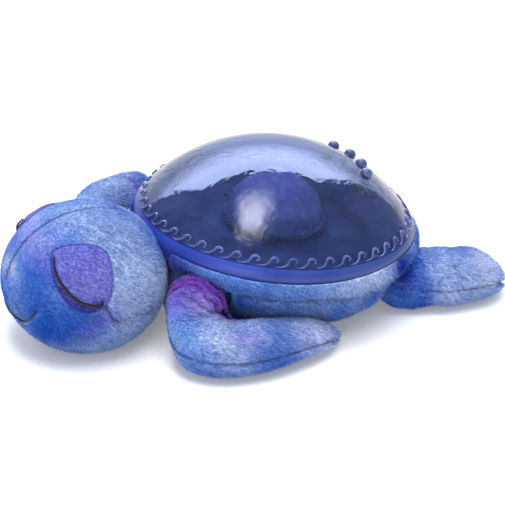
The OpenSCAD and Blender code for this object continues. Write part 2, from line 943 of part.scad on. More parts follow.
module motor_pinion() {
    color(gear_white)
        lamp_frame()
            translate(motor_at)
                rotate([0, 0, pinion_tooth])
                    difference() {
                        union() {
                            translate([0, 0, gear_z])
                                linear_extrude(gear_t)
                                    gear_outline(pinion_teeth);
                            translate([0, 0, deck_t + fit_gap])
                                cylinder(r = 3, h = gear_z - deck_t);
                        }
                        cylinder(r = shaft_r, h = gear_z + gear_t + over);
                    }
}

module motor_shaft() {
    color(steel)
        lamp_frame()
            translate(motor_at + [0, 0, -3])
                cylinder(r = shaft_r, h = 3 + gear_z + gear_t + 0.5);
}

// Screw places of the motor's ears, either side of its shaft
module motor_ears() {
    for (side = [-1, 1])
        rotate([0, 0, motor_angle + side * 90])
            translate([motor_r + 3, 0, 0])
                children();
}

module motor() {
    color(steel)
        lamp_frame()
            translate(motor_at)
                difference() {
                    union() {
                        translate([0, 0, -motor_h])
                            cylinder(r = motor_r, h = motor_h);
                        translate([0, 0, -motor_h - 1.5])
                            cylinder(r = motor_r / 3, h = 2);
                        rotate([0, 0, motor_angle])
                            translate([-3.5, -motor_r - 6, -1.5])
                                cube([7, 2 * motor_r + 12, 1.5]);
                    }
                    translate([0, 0, -4])
                        cylinder(r = shaft_r + run_gap, h = 4 + over);
                    motor_ears()
                        translate([0, 0, -over - 1.5])
                            cylinder(r = shaft_r + run_gap, h = 1.5 + 2 * over);
                }
}

module motor_screws() {
    color(steel)
        lamp_frame()
            translate(motor_at)
                motor_ears()
                    translate([0, 0, deck_t])
                        screw(shaft_r, deck_t + 3.5, 1.9, 1.2);
}

module led_board() {
    color(board_blue)
        lamp_frame()
            translate([0, 0, led_board_z])
                cylinder(r = led_board_r, h = board_t);
}

module leds() {
    color([0.8, 0.9, 1])
        lamp_frame()
            ring_places(led_count, led_place_r, 90)
                translate([0, 0, led_top_z])
                    rotate_extrude()
                        union() {
                            square([led_r, 5.5]);
                            square([led_r + 0.4, 1]);
                            translate([0, 5.5])
                                intersection() {
                                    circle(r = led_r);
                                    square(led_r);
                                }
                        }
}

module led_reflector() {
    color("white")
        lamp_frame()
            rotate_extrude()
                polygon([
                    [reflector_r, led_top_z],
                    [reflector_r + reflector_t, led_top_z],
                    [reflector_r + reflector_h + reflector_t, led_top_z + reflector_h],
                    [reflector_r + reflector_h, led_top_z + reflector_h]
                ]);
}

module button_board() {
    half_l = button_place(0).x + board_margin;
    color(board_blue)
        button_frame()
            translate([0, 0, switch_board_z - board_t])
                difference() {
                    translate([-half_l, button_place(0).y - board_margin, 0])
                        cube([2 * half_l, button_place(1).y - button_place(0).y + 2 * board_margin, board_t]);
                    board_boss_places()
                        translate([0, 0, -over])
                            cylinder(r = board_pilot_r + fit_gap, h = board_t + 2 * over);
                }
}

module tact_switches() {
    color([0.15, 0.15, 0.16])
        button_frame()
            for (i = [0 : button_count - 1])
                translate([button_place(i).x, button_place(i).y, switch_board_z]) {
                    translate([-switch_w / 2, -switch_w / 2, 0])
                        cube([switch_w, switch_w, switch_h]);
                    cylinder(r = 1.75, h = switch_h + plunger_h);
                }
}

module board_screws() {
    color(steel)
        button_frame()
            board_boss_places()
                translate([0, 0, switch_board_z - board_t])
                    mirror([0, 0, 1])
                        screw(board_pilot_r, board_t + 5, 1.9, 1.2);
}

module peg_places() {
    for (sx = [-1, 1])
        for (sy = [-1, 1])
            translate([sx * (main_board_size.x / 2 - peg_inset), sy * (main_board_size.y / 2 - peg_inset), 0])
                children();
}

module main_board() {
    color(board_blue)
        translate([0, 0, main_board_z])
            difference() {
                translate([-main_board_size.x / 2, -main_board_size.y / 2, 0])
                    cube(main_board_size);
                peg_places()
                    translate([0, 0, -over])
                        cylinder(r = stake_r + run_gap, h = board_t + 2 * over);
            }
}

// Chip, two capacitors and two lead connectors
module board_parts() {
    color([0.12, 0.12, 0.14])
        translate([0, 0, main_board_z + board_t]) {
            translate([-7, -6, 0])
                cube([12, 12, 1.6]);
            for (y = [-7, 7])
                translate([14, y, 0])
                    cylinder(r = 3.2, h = 9);
            for (y = [-8, 2])
                translate([-20, y, 0])
                    cube([8, 6, 6]);
        }
}

module battery_box() {
    outer = [pack_l + 2 * pack_wall, pack_w + 2 * pack_wall];
    rib_w = 1;
    rib_h = 3;
    color([0.13, 0.13, 0.15]) {
        difference() {
            translate([-outer.x / 2, -outer.y / 2, well_floor])
                cube([outer.x, outer.y, pack_top_z + pack_wall - well_floor]);
            translate([-pack_l / 2, -pack_w / 2, well_floor - over])
                cube([pack_l, pack_w, pack_top_z - well_floor + over]);
        }
        for (i = [1 : cell_count - 1])
            translate([-pack_l / 2, (i - cell_count / 2) * cell_pitch - rib_w / 2, pack_top_z - rib_h])
                cube([pack_l, rib_w, rib_h]);
        peg_places()
            translate([0, 0, pack_top_z + pack_wall]) {
                cylinder(r = peg_r, h = peg_h);
                cylinder(r = stake_r, h = peg_h + board_t + 0.8);
            }
    }
}

// Places of the cells, turned end for end one after the other
module cell_places() {
    for (i = [0 : cell_count - 1])
        translate([0, (i - (cell_count - 1) / 2) * cell_pitch, cell_z])
            rotate([0, 0, 180 * (i % 2)])
                children();
}

module battery_cells() {
    color([0.25, 0.25, 0.28])
        cell_places()
            translate([pack_l / 2 - contact_t, 0, 0])
                rotate([0, -90, 0]) {
                    cylinder(r = nub_r, h = nub_h);
                    translate([0, 0, nub_h])
                        cylinder(r = cell_r, h = cell_l - nub_h);
                }
}

// A plate at each end of a cell, with a coned spring on the flat end's side
module battery_contacts() {
    plate_w = 9;
    color(steel)
        cell_places() {
            translate([pack_l / 2 - contact_t, -plate_w / 2, -plate_w / 2])
                cube([contact_t, plate_w, plate_w]);
            translate([-pack_l / 2, -plate_w / 2, -plate_w / 2])
                cube([contact_t, plate_w, plate_w]);
            translate([contact_t - pack_l / 2, 0, 0])
                rotate([0, 90, 0])
                    cylinder(r1 = 4, r2 = 2.8, h = spring_h);
        }
}

module battery_door() {
    color(housing_blue)
        difference() {
            union() {
                linear_extrude(door_t)
                    door_outline(0);
                intersection() {
                    door_tabs(0);
                    translate([-door_l / 2, -door_w, 0])
                        cube([door_l, door_w, door_t]);
                }
            }
            translate([0, door_screw_y, -over])
                cylinder(r = screw_hole_r, h = door_t + 2 * over);
            translate([0, door_screw_y, -over])
                cylinder(r = screw_head_r + fit_gap, h = over + 1.2);
        }
}

module door_screw() {
    color(steel)
        translate([0, door_screw_y, 1.2])
            mirror([0, 0, 1])
                screw(screw_r, door_t + door_boss_h - 3, screw_head_r, 0.9);
}

// Round speaker, its cone facing down to the holes in the tub's floor
module speaker() {
    magnet_r = speaker_r * 0.57;
    color([0.2, 0.2, 0.22])
        lamp_frame()
            translate([0, -speaker_y, tub_floor_z])
                rotate_extrude()
                    polygon([
                        [speaker_r * 0.8, 0],
                        [speaker_r, 0],
                        [speaker_r, 2],
                        [magnet_r + 1, speaker_h * 0.56],
                        [magnet_r, speaker_h * 0.56],
                        [magnet_r, speaker_h],
                        [0, speaker_h],
                        [0, speaker_h * 0.4],
                        [magnet_r * 0.5, speaker_h * 0.4]
                    ]);
}

plush_body();
belly_panel();
plush_head();
eyelid_left();
eyelid_right();
front_flipper_left();
front_flipper_right();
rear_flipper_left();
rear_flipper_right();
shell_dome();
button_left_outer();
button_left_inner();
button_right_inner();
button_right_outer();
base_housing();
shell_screws();
deck();
deck_screws();
lens_dome();
idler_gear();
idler_clip();
motor_pinion();
motor_shaft();
motor();
motor_screws();
led_board();
leds();
led_reflector();
button_board();
tact_switches();
board_screws();
main_board();
board_parts();
battery_box();
battery_cells();
battery_contacts();
battery_door();
door_screw();
speaker();
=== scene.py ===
import json
import math

import bmesh
import bpy
import numpy as np
from mathutils import Euler, Matrix, Vector, noise
from mathutils.bvhtree import BVHTree


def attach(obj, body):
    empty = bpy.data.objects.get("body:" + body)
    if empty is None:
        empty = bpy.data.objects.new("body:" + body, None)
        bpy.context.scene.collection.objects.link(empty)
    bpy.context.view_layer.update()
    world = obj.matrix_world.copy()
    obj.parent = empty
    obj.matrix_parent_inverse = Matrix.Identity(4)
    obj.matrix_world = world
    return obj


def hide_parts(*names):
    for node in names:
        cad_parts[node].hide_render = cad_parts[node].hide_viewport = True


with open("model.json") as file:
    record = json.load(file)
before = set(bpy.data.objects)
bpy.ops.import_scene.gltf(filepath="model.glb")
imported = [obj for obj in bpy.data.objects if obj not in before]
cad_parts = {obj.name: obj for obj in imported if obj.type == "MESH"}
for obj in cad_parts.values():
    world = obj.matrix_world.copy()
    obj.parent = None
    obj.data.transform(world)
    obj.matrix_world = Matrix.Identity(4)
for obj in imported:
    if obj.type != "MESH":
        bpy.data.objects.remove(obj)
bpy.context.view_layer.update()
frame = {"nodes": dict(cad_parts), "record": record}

scene = bpy.context.scene
nodes = frame["nodes"]

# Lengths below are in millimetres, as in the construction, and become metres where a mesh is made
MM = 0.001
IMAGE_SIDE = 505
TINY = 1e-9

# Shell
SHELL_R, SHELL_H, SHELL_WALL = 108.5, 64.5, 2.6
SHOULDER_R, SHOULDER_Z = 10.0, 5.5
RIM_Z, PITCH = 57.0, 6.4
SHOULDER_X = SHELL_R - SHOULDER_R
CROWN_RISE = SHELL_H - SHOULDER_Z
CROWN_R = (CROWN_RISE ** 2 - SHOULDER_R ** 2 + SHOULDER_X ** 2) / (2 * (CROWN_RISE - SHOULDER_R))
CROWN_Z = SHELL_H - CROWN_R
WAVE_Z = 16.5
SKIRT_Z = 12.6
WAVE_COUNT = 46
SHOULDER_ROWS, CROWN_ROWS, SHELL_SIDES = 16, 70, 288

# Buttons
BUTTON_R, BUTTON_ARC_R, BUTTON_STEP, BUTTON_COUNT = 4.6, 66.0, 16.0, 4
BUTTON_TILT = math.degrees(math.asin(BUTTON_ARC_R / CROWN_R))

# Body
FLANGE_R, FLANGE_DROP, RIM_STEP = 106.05, 5.3, 0.8
BODY_TOP_R, SEAM_R = 104.05, 98.05
NECK_TUCK = 3.5
NECK_Y = NECK_TUCK - BODY_TOP_R
RIM_SLOPE = math.tan(math.radians(PITCH))
BODY_TOP_Z = RIM_Z - FLANGE_DROP / math.cos(math.radians(PITCH))
SEAM_DROP = 9.0
SEAM_Z = BODY_TOP_Z - SEAM_DROP
BELLY_FLAT_R, BELLY_SHIFT, WELL_EDGE_R = 60.0, 12.0, 45
TUB_CORE_R = 60

# Head
HEAD_R = np.array([59.0, 61.5, 56.0])
HEAD_GAP, HEAD_REACH, HEAD_Z = 0.3, 56.5, 51.0
HEAD_AT = np.array([0.0, NECK_Y - HEAD_GAP - HEAD_REACH, HEAD_Z])
HEAD_PITCH = math.radians(5)
HEAD_UNDER_PILE = 0.975
HEAD_QUADS = 24
NECK_GAP, NECK_DEPTH = 0.4, 9
HEAD_FLOOR, HEAD_FOOT, HEAD_HELD_Z = 0.6, 0.55, 3
SHELL_GAP = 0.7
SIDES = {1: "left", -1: "right"}

# Flippers: steps of the spine, and how the section grows along it
FRONT_ROOT = np.array([53.844, -87.866, 39.0])
REAR_ROOT = np.array([66.948, 74.353, 22.0])
FRONT_FORM = dict(
    steps=[[0, 0], [40, -34], [51, 12], [42, 94]], root_r=18.0, root_rise=4.5, puff=3.6, fold=1.7, elbow=11.0,
    half_w=26.5, half_t=19.5, blunt=4.2,
)
FAR_FORM = dict(
    FRONT_FORM, steps=[[0, 0], [40, -34], [51, 12], [43, 86]], root_rise=0.0, puff=1.5, fold=1.2, elbow=2.0,
    half_w=24.0, blunt=2.2,
)
REAR_FORM = dict(
    steps=[[0, 0], [2, 24], [13, 55], [9.5, 81.5]], root_r=20.0, root_rise=0.0, puff=2.0, fold=0.25, elbow=0.0,
    half_w=27.0, half_t=21.0, blunt=5.0,
)
FAR_SWING, FAR_LIFT, REAR_SWING = 33.5, 36.5, 32.0
UNDER_PILE, TIP_LIFT, FLOOR_GAP = 1.2, 4.0, 0.5
FLIPPER_AROUND, FLIPPER_RINGS = 36, 36
ROOT_BENDS = np.radians(np.linspace(15, 90, 6)[:-1])
TIP_BEND = math.radians(86.5)
ROOT_NEAR, FOLD_PITCH, FOLD_WANDER, FOLD_WANDER_SIZE = 36, 4.8, 2.6, 17

# Shares of a flipper's spine for its neck, width and thickness, the root's height, the elbow and what is sewn
NECK_END, WIDE_FROM, WIDE_OVER, THICK_FROM, THICK_OVER = 0.06, 0.12, 0.36, 0.05, 0.6
DOWN_BY, RISE_GONE, ELBOW_AT, ELBOW_SPAN = 0.55, 0.3, 0.34, 0.14
EDGE_HELD_FROM, ROOT_HELD, ROOT_EASE, EDGE_SEAM_FROM = 0.12, 0.02, 0.14, 0.14

# Seams: depth, width, height of the puckers beside them and their pitch
FLIPPER_SEAM = (0.5, 1.4, 0.35, 7.0)
BODY_SEAM = (2.3, 2.5, 0.5, 7.0)
HEAD_SEAM_WIDTH, HEAD_PUCKER, HEAD_PUCKER_PITCH = 1.7, 0.25, 6.0

# Colours of the plush's tie dyeing, and of the painted shade in its seams and fold valleys, linear
SNOW = (0.97, 0.97, 0.98)
PALE = (0.77, 0.87, 0.91)
MID = (0.15, 0.35, 0.72)
DEEP = (0.022, 0.175, 0.64)
NAVY = (0.001, 0.022, 0.37)
VIOLET = (0.30, 0.24, 0.80)
MAGENTA = (0.19, 0.006, 0.35)
ROSE = (0.58, 0.44, 0.88)
LID = (0.21, 0.20, 0.66)
LID_BLUSH = (0.42, 0.39, 0.76)
LID_SHADE = (0.045, 0.015, 0.32)
FOLD_SHADE = (0.09, 0.004, 0.22)
SEAM_SHADE = (0.008, 0.03, 0.22)


# Camera, at the photograph's viewing angle

CAMERA_LENS = 143.38
SENSOR = 36.0
AZIMUTH, ELEVATION, DISTANCE = math.radians(64.12), math.radians(28.69), 1.52006
TARGET = Vector((0.02495, -0.03020, 0.05085))
toward_eye = Vector((
    math.sin(AZIMUTH) * math.cos(ELEVATION),
    -math.cos(AZIMUTH) * math.cos(ELEVATION),
    math.sin(ELEVATION),
))
camera_data = bpy.data.cameras.new("camera")
camera_data.sensor_width = SENSOR
camera_data.lens = CAMERA_LENS
camera = bpy.data.objects.new("camera", camera_data)
camera.location = TARGET + DISTANCE * toward_eye
camera.rotation_euler = toward_eye.to_track_quat("Z", "Y").to_euler()
scene.collection.objects.link(camera)
scene.camera = camera
camera_turn = camera.rotation_euler.to_matrix()


def photo_ray(x, y):
    """Direction from the camera through a pixel of the photograph."""
    focal = CAMERA_LENS / SENSOR * IMAGE_SIDE
    half = IMAGE_SIDE / 2
    return (camera_turn @ Vector(((x - half) / focal, (half - y) / focal, -1))).normalized()


# Mesh helpers

def mesh_object(name, points, faces, smooth=True):
    """New object from points in millimetres."""
    mesh = bpy.data.meshes.new(name)
    mesh.from_pydata((np.asarray(points, float) * MM).tolist(), [], [list(map(int, f)) for f in faces])
    mesh.validate()
    mesh.shade_smooth() if smooth else mesh.shade_flat()
    made = bpy.data.objects.new(name, mesh)
    scene.collection.objects.link(made)
    return made


def grid_faces(rows, columns, wrap_rows=False):
    """Quads between closed rings of points."""
    faces = []
    for i in range(rows if wrap_rows else rows - 1):
        a, b = i * columns, (i + 1) % rows * columns
        for j in range(columns):
            k = (j + 1) % columns
            faces.append((a + j, a + k, b + k, b + j))
    return faces


def end_caps(rows, columns):
    """Triangles that close a run of rings onto the two points that follow them."""
    last = rows * columns
    base = last - columns
    turns = [(j, (j + 1) % columns) for j in range(columns)]
    return [(last, k, j) for j, k in turns] + [(last + 1, base + j, base + k) for j, k in turns]


def points_of(obj):
    out = np.empty(len(obj.data.vertices) * 3)
    obj.data.vertices.foreach_get("co", out)
    return out.reshape(-1, 3) / MM


def set_points(obj, points):
    obj.data.vertices.foreach_set("co", (np.asarray(points) * MM).ravel())
    obj.data.update()


def normals_of(obj):
    out = np.empty(len(obj.data.vertices) * 3)
    obj.data.vertex_normals.foreach_get("vector", out)
    return out.reshape(-1, 3)


def outward(obj):
    """Turns all faces of a closed mesh outward."""
    work = bmesh.new()
    work.from_mesh(obj.data)
    bmesh.ops.recalc_face_normals(work, faces=work.faces)
    work.to_mesh(obj.data)
    work.free()
    obj.data.update()


def evaluated(obj):
    """Applies the modifiers of an object to its mesh."""
    graph = bpy.context.evaluated_depsgraph_get()
    mesh = bpy.data.meshes.new_from_object(obj.evaluated_get(graph))
    obj.modifiers.clear()
    old = obj.data
    obj.data = mesh
    bpy.data.meshes.remove(old)
    mesh.name = obj.name
    mesh.shade_smooth()


def subdivide(obj, levels):
    modifier = obj.modifiers.new("subdivision", "SUBSURF")
    modifier.levels = levels
    modifier.render_levels = levels
    evaluated(obj)


def lumps(points, size, seed, octaves=2):
    """Smooth noise about 0 at points in millimetres, with features of about that size."""
    shift = Vector((seed * 17.3, seed * 5.1, seed * 9.7))
    return np.array([noise.fractal(Vector(p) / size + shift, 1.0, 2.0, octaves) for p in points])


def lengths(rows):
    return np.linalg.norm(rows, axis=1)


def smooth_step(x):
    x = np.clip(x, 0, 1)
    return x * x * (3 - 2 * x)


def bell(x, middle, spread):
    """1 at the middle, falling away over the spread."""
    return np.exp(-((x - middle) / spread) ** 2)


def uneven(obj, swells, share=1.0):
    """Points of a piece moved along its normals by noise; each swell has a height, a size and a seed."""
    at = points_of(obj)
    rise = sum(height * lumps(at, size, seed) for height, size, seed in swells)
    return at + normals_of(obj) * (share * rise)[:, None]


def path_distance(points, path):
    """Distance of each point from a path, and how far along the path its nearest place is."""
    path = np.asarray(path, float)
    best = np.full(len(points), np.inf)
    along = np.zeros(len(points))
    run = 0.0
    for a, b in zip(path[:-1], path[1:]):
        step = b - a
        length = np.linalg.norm(step)
        share = np.clip((points - a) @ step / max(length ** 2, TINY), 0, 1)
        gap = lengths(points - a - share[:, None] * step)
        nearer = gap < best
        best[nearer] = gap[nearer]
        along[nearer] = run + share[nearer] * length
        run += length
    return best, along


def rounded_path(path, steps=8):
    """Smooth path through the given points."""
    path = [np.asarray(p, float) for p in path]
    padded = [2 * path[0] - path[1]] + path + [2 * path[-1] - path[-2]]
    out = []
    for a, b, c, d in zip(padded, padded[1:], padded[2:], padded[3:]):
        bend = 2 * a - 5 * b + 4 * c - d
        twist = 3 * b - a - 3 * c + d
        for t in np.arange(steps) / steps:
            out.append(0.5 * (2 * b + (c - a) * t + bend * t ** 2 + twist * t ** 3))
    return np.array(out + [path[-1]])


def tube(name, path, radius, sides=8):
    """Closed tube along a path, its radius a number or one for each point."""
    path = np.asarray(path, float)
    radius = np.broadcast_to(radius, len(path))
    tangent = np.gradient(path, axis=0)
    tangent /= lengths(tangent)[:, None]
    side = np.cross(tangent[0], [0.3, 0.5, 0.81])
    rings = []
    for p, t, r in zip(path, tangent, radius):
        side = side - t * (side @ t)
        side /= np.linalg.norm(side)
        other = np.cross(t, side)
        for k in range(sides):
            a = 2 * math.pi * k / sides
            rings.append(p + r * (math.cos(a) * side + math.sin(a) * other))
    rings += [path[0], path[-1]]
    made = mesh_object(name, rings, grid_faces(len(path), sides) + end_caps(len(path), sides))
    outward(made)
    return made


def joined(name, pieces):
    """One object from several meshes."""
    work = bmesh.new()
    for piece in pieces:
        work.from_mesh(piece.data)
        old = piece.data
        bpy.data.objects.remove(piece)
        bpy.data.meshes.remove(old)
    mesh = bpy.data.meshes.new(name)
    work.to_mesh(mesh)
    work.free()
    mesh.shade_smooth()
    made = bpy.data.objects.new(name, mesh)
    scene.collection.objects.link(made)
    return made


def tree_of(obj):
    work = bmesh.new()
    work.from_mesh(obj.data)
    tree = BVHTree.FromBMesh(work)
    work.free()
    return tree


def photo_point(tree, x, y):
    """Place on a piece that a pixel of the photograph shows, in millimetres."""
    hit = tree.ray_cast(camera.location, photo_ray(x, y))[0]
    return None if hit is None else np.array(hit) / MM


# Soft pieces are stuffed by a cloth simulation with pressure, held where they are sewn

CLOTH = dict(
    quality=5, mass=0.15, tension_stiffness=20, compression_stiffness=12, shear_stiffness=6,
    bending_stiffness=1.2, use_pressure=True, vertex_group_mass="sewn", pin_stiffness=1,
)
CLOTH_FRAMES = 20
HELD_LEAST = 0.02


def stuff(obj, held, swell, spare, cap):
    """Swells a closed mesh by cloth pressure. held gives 1 at sewn points and 0 at free ones."""
    start = points_of(obj)
    group = obj.vertex_groups.new(name="sewn")
    for k in np.nonzero(held > HELD_LEAST)[0]:
        group.add([int(k)], float(held[k]), "REPLACE")
    modifier = obj.modifiers.new("cloth", "CLOTH")
    cloth = modifier.settings
    for key, value in CLOTH.items():
        setattr(cloth, key, value)
    cloth.uniform_pressure_force = swell
    cloth.shrink_min = spare
    cloth.effector_weights.gravity = 0
    modifier.collision_settings.use_collision = False
    modifier.point_cache.frame_start = 1
    modifier.point_cache.frame_end = CLOTH_FRAMES
    for step in range(1, CLOTH_FRAMES + 1):
        scene.frame_set(step)
    evaluated(obj)
    scene.frame_set(1)
    obj.vertex_groups.clear()
    moved = points_of(obj) - start
    length = lengths(moved)
    moved *= (np.minimum(length, cap) / np.maximum(length, TINY))[:, None]
    set_points(obj, start + moved)


SHOULDER_TOP = SHOULDER_Z + 6


def out_of_shell(points, gap):
    """Moves points that lie within a gap of the shell or its flange outward, square to its axis."""
    turn = np.array(Euler((math.radians(PITCH), 0, 0)).to_matrix())
    local = (points - [0, 0, RIM_Z]) @ turn.T
    height = local[:, 2]
    reach = lengths(local[:, :2])
    crown = np.sqrt(np.maximum(CROWN_R ** 2 - (height - CROWN_Z) ** 2, 0))
    shoulder = SHOULDER_X + np.sqrt(np.maximum(SHOULDER_R ** 2 - (height - SHOULDER_Z) ** 2, 0))
    edge = np.where(height > SHOULDER_TOP, crown, shoulder)
    edge = np.where(height < 0, FLANGE_R + RIM_STEP, edge) + gap
    inside = (height > -FLANGE_DROP - gap) & (reach < edge) & (reach > TUB_CORE_R)
    local[inside, :2] *= (edge / np.maximum(reach, TINY))[inside, None]
    return local @ turn + [0, 0, RIM_Z]


def soft_floor(z, floor, ease=2.0):
    """Heights that level out on the floor."""
    return floor + ease * np.logaddexp(0, (z - floor) / ease - 0.2)


# Head

def quad_ball(count):
    """Points and faces of a ball made from a cube's six faces."""
    found, points, faces = {}, [], []
    steps = np.tan(np.linspace(-math.pi / 4, math.pi / 4, count + 1))

    def place(p):
        key = tuple(np.round(p, 6))
        if key not in found:
            found[key] = len(points)
            points.append(np.array(p) / np.linalg.norm(p))
        return found[key]

    for axis in range(3):
        for sign in (-1, 1):
            for i in range(count):
                for j in range(count):
                    corner = []
                    for a, b in ((i, j), (i + 1, j), (i + 1, j + 1), (i, j + 1)):
                        p = np.empty(3)
                        p[axis] = sign
                        p[(axis + 1) % 3] = steps[a]
                        p[(axis + 2) % 3] = steps[b] * sign
                        corner.append(place(p))
                    faces.append(corner)
    return np.array(points), faces


def head_form(ways):
    """Points of the head for directions from its middle: a ball, flat at the neck and on the floor."""
    p = ways * HEAD_R
    c, s = math.cos(HEAD_PITCH), math.sin(HEAD_PITCH)
    p = np.column_stack([p[:, 0], p[:, 1] * c + p[:, 2] * s, p[:, 2] * c - p[:, 1] * s]) + HEAD_AT
    p[:, 1] = np.minimum(p[:, 1], NECK_Y - NECK_GAP)
    p[:, 2] = soft_floor(p[:, 2], HEAD_FLOOR)
    return p


ways, faces = quad_ball(HEAD_QUADS)
head = mesh_object("head_plush", head_form(ways * HEAD_UNDER_PILE), faces)
outward(head)
at = points_of(head)
neck = smooth_step((at[:, 1] - NECK_Y + NECK_DEPTH) / NECK_DEPTH)
stuff(head, np.maximum(neck, at[:, 2] < HEAD_HELD_Z), swell=3.0, spare=-0.012, cap=1.6)
subdivide(head, 2)
at = uneven(head, ((0.9, 34, 1), (0.30, 9, 2)))
at[:, 1] = np.minimum(at[:, 1], NECK_Y - NECK_GAP)
at[:, 2] = np.maximum(at[:, 2], HEAD_FOOT)
set_points(head, out_of_shell(at, SHELL_GAP))
head_tree = tree_of(head)


def photo_path(tree, pixels, steps=6):
    """Path on a piece through pixels of the photograph."""
    found = [photo_point(tree, *p) for p in pixels]
    return rounded_path([p for p in found if p is not None], steps)


def on_surface(tree, path, rise):
    """Path laid on a piece, raised by a height over it."""
    out = []
    for p in path:
        place, normal, _, _ = tree.find_nearest(Vector(p) * MM)
        out.append(np.array(place) / MM + rise * np.array(normal))
    return np.array(out)


def mirrored(path):
    return np.asarray(path) * [-1, 1, 1]


SEAM_SPREAD, PUCKER_SPREAD = 0.95, 3


def crease(obj, path, depth, width, pucker, pitch):
    """Presses a seam with puckers beside it into a piece along a path; gives its share at each point."""
    at = points_of(obj)
    gap, along = path_distance(at, path)
    push = -depth * bell(gap, 0, width)
    wave = pucker * np.cos(2 * math.pi * along / pitch)
    lift = wave * bell(gap, 0, PUCKER_SPREAD * width) * smooth_step(gap / width)
    set_points(obj, at + normals_of(obj) * (push + lift)[:, None])
    return bell(gap, 0, SEAM_SPREAD * width)


TOP_SEAM_STEPS, TOP_SEAM_FROM, TOP_SEAM_TO = 24, 6, 112
DART = [(104, 304), (107, 309), (111, 316), (114, 321)]
LOW_SEAM = [(112, 322), (125, 320), (140, 313), (152, 306), (160, 300)]
TOP_DEPTH, DART_DEPTH, LOW_DEPTH = 0.55, 1.9, 2.2
seam_turns = np.radians(np.linspace(TOP_SEAM_FROM, TOP_SEAM_TO, TOP_SEAM_STEPS))
seam_ways = np.column_stack([np.zeros(TOP_SEAM_STEPS), -np.cos(seam_turns), np.sin(seam_turns)])
head_seams = [(on_surface(head_tree, head_form(seam_ways), 0.0), TOP_DEPTH)]
for pixels, depth in ((DART, DART_DEPTH), (LOW_SEAM, LOW_DEPTH)):
    path = photo_path(head_tree, pixels)
    head_seams += [(path, depth), (mirrored(path), depth)]
head_seam = np.zeros(len(head.data.vertices))
for path, depth in head_seams:
    seam = crease(head, path, depth, HEAD_SEAM_WIDTH, HEAD_PUCKER, HEAD_PUCKER_PITCH)
    head_seam = np.maximum(head_seam, seam)


# Eyelids, lash lines and mouth

LID_EDGE = [
    (53, 252), (66, 247), (82, 245.5), (97, 247.5), (106, 254), (110.5, 267), (111.5, 283), (109, 297),
    (105, 305), (98, 309.5), (88, 311), (77, 308.5), (67, 301), (58, 287), (53, 270),
]
lid_edge = np.array([photo_point(head_tree, *p) for p in LID_EDGE])
lid_middle = lid_edge.mean(0)
LID_AROUND, LID_RINGS, LID_BEND = 72, 16, math.radians(84)
LID_EDGE_RISE, LID_FOOT, LID_CROWN, LID_FULLNESS = 0.1, 0.6, 1.9, 0.35


def eyelid(name, side):
    """Domed patch on the head inside the lid's edge."""
    closed = rounded_path(list(lid_edge) + [lid_edge[0]], 12)
    length = np.concatenate([[0], np.cumsum(lengths(np.diff(closed, axis=0)))])
    spots = np.linspace(0, length[-1], LID_AROUND, endpoint=False)
    edge = np.column_stack([np.interp(spots, length, closed[:, k]) for k in range(3)])
    rings = []
    shares = np.concatenate([[1.0], np.sin(np.linspace(LID_BEND, 0, LID_RINGS))[:-1]])
    for share in shares:
        rise = LID_EDGE_RISE if share == 1.0 else LID_FOOT + LID_CROWN * (1 - share ** 2) ** LID_FULLNESS
        rings.append(on_surface(head_tree, lid_middle + (edge - lid_middle) * share, rise))
    points = np.concatenate(rings + [on_surface(head_tree, [lid_middle], LID_FOOT + LID_CROWN)])
    faces = grid_faces(len(shares), LID_AROUND)
    last = len(points) - 1
    base = last - LID_AROUND
    faces += [(base + j, base + (j + 1) % LID_AROUND, last) for j in range(LID_AROUND)]
    made = mesh_object(name, points if side > 0 else mirrored(points), faces)
    outward(made)
    subdivide(made, 1)
    set_points(made, uneven(made, [(0.22, 7, 5)]))
    return made


LASH_RISE, LASH_THIN, LASH_SWELL = 0.9, 0.3, 0.85
LASH_SHADE = np.array([-2.0, -4.0, -4.0])
LASH = [
    (54.5, 257), (55, 268), (59.5, 280), (67.5, 291.5), (77.5, 300.5), (88, 305), (97, 306.5), (101.5, 305.5),
    (103, 303), (102, 300.5),
]
MOUTH = [(19, 318), (22, 320), (26, 321), (31, 318), (35, 314), (37, 311)]
MOUTH_RISE, MOUTH_R = 0.9, 0.7
eyelids = {side: eyelid(f"eyelid_patch_{name}", side) for side, name in SIDES.items()}
lid_tree = tree_of(eyelids[1])
lash_path = on_surface(lid_tree, photo_path(lid_tree, LASH, 8), LASH_RISE)
lash_width = LASH_THIN + LASH_SWELL * np.sin(np.linspace(0.2, math.pi - 0.15, len(lash_path))) ** 0.8
lashes = {1: tube("lash_left", lash_path, lash_width), -1: tube("lash_right", mirrored(lash_path), lash_width)}
mouth_half = photo_path(head_tree, MOUTH, 8)
mouth_whole = rounded_path(np.concatenate([mouth_half[::-2], mirrored(mouth_half[::2])]), 4)
mouth = tube("mouth_thread", on_surface(head_tree, mouth_whole, MOUTH_RISE), MOUTH_R)


# Flippers

def spine(steps, t):
    p = np.asarray(steps, float)
    t = np.asarray(t)[..., None]
    return (1 - t) ** 3 * p[0] + 3 * (1 - t) ** 2 * t * p[1] + 3 * (1 - t) * t ** 2 * p[2] + t ** 3 * p[3]


def spine_way(steps, t):
    p = np.asarray(steps, float)
    d = (1 - t) ** 2 * (p[1] - p[0]) + 2 * (1 - t) * t * (p[2] - p[1]) + t * t * (p[3] - p[2])
    return math.atan2(d[1], d[0])


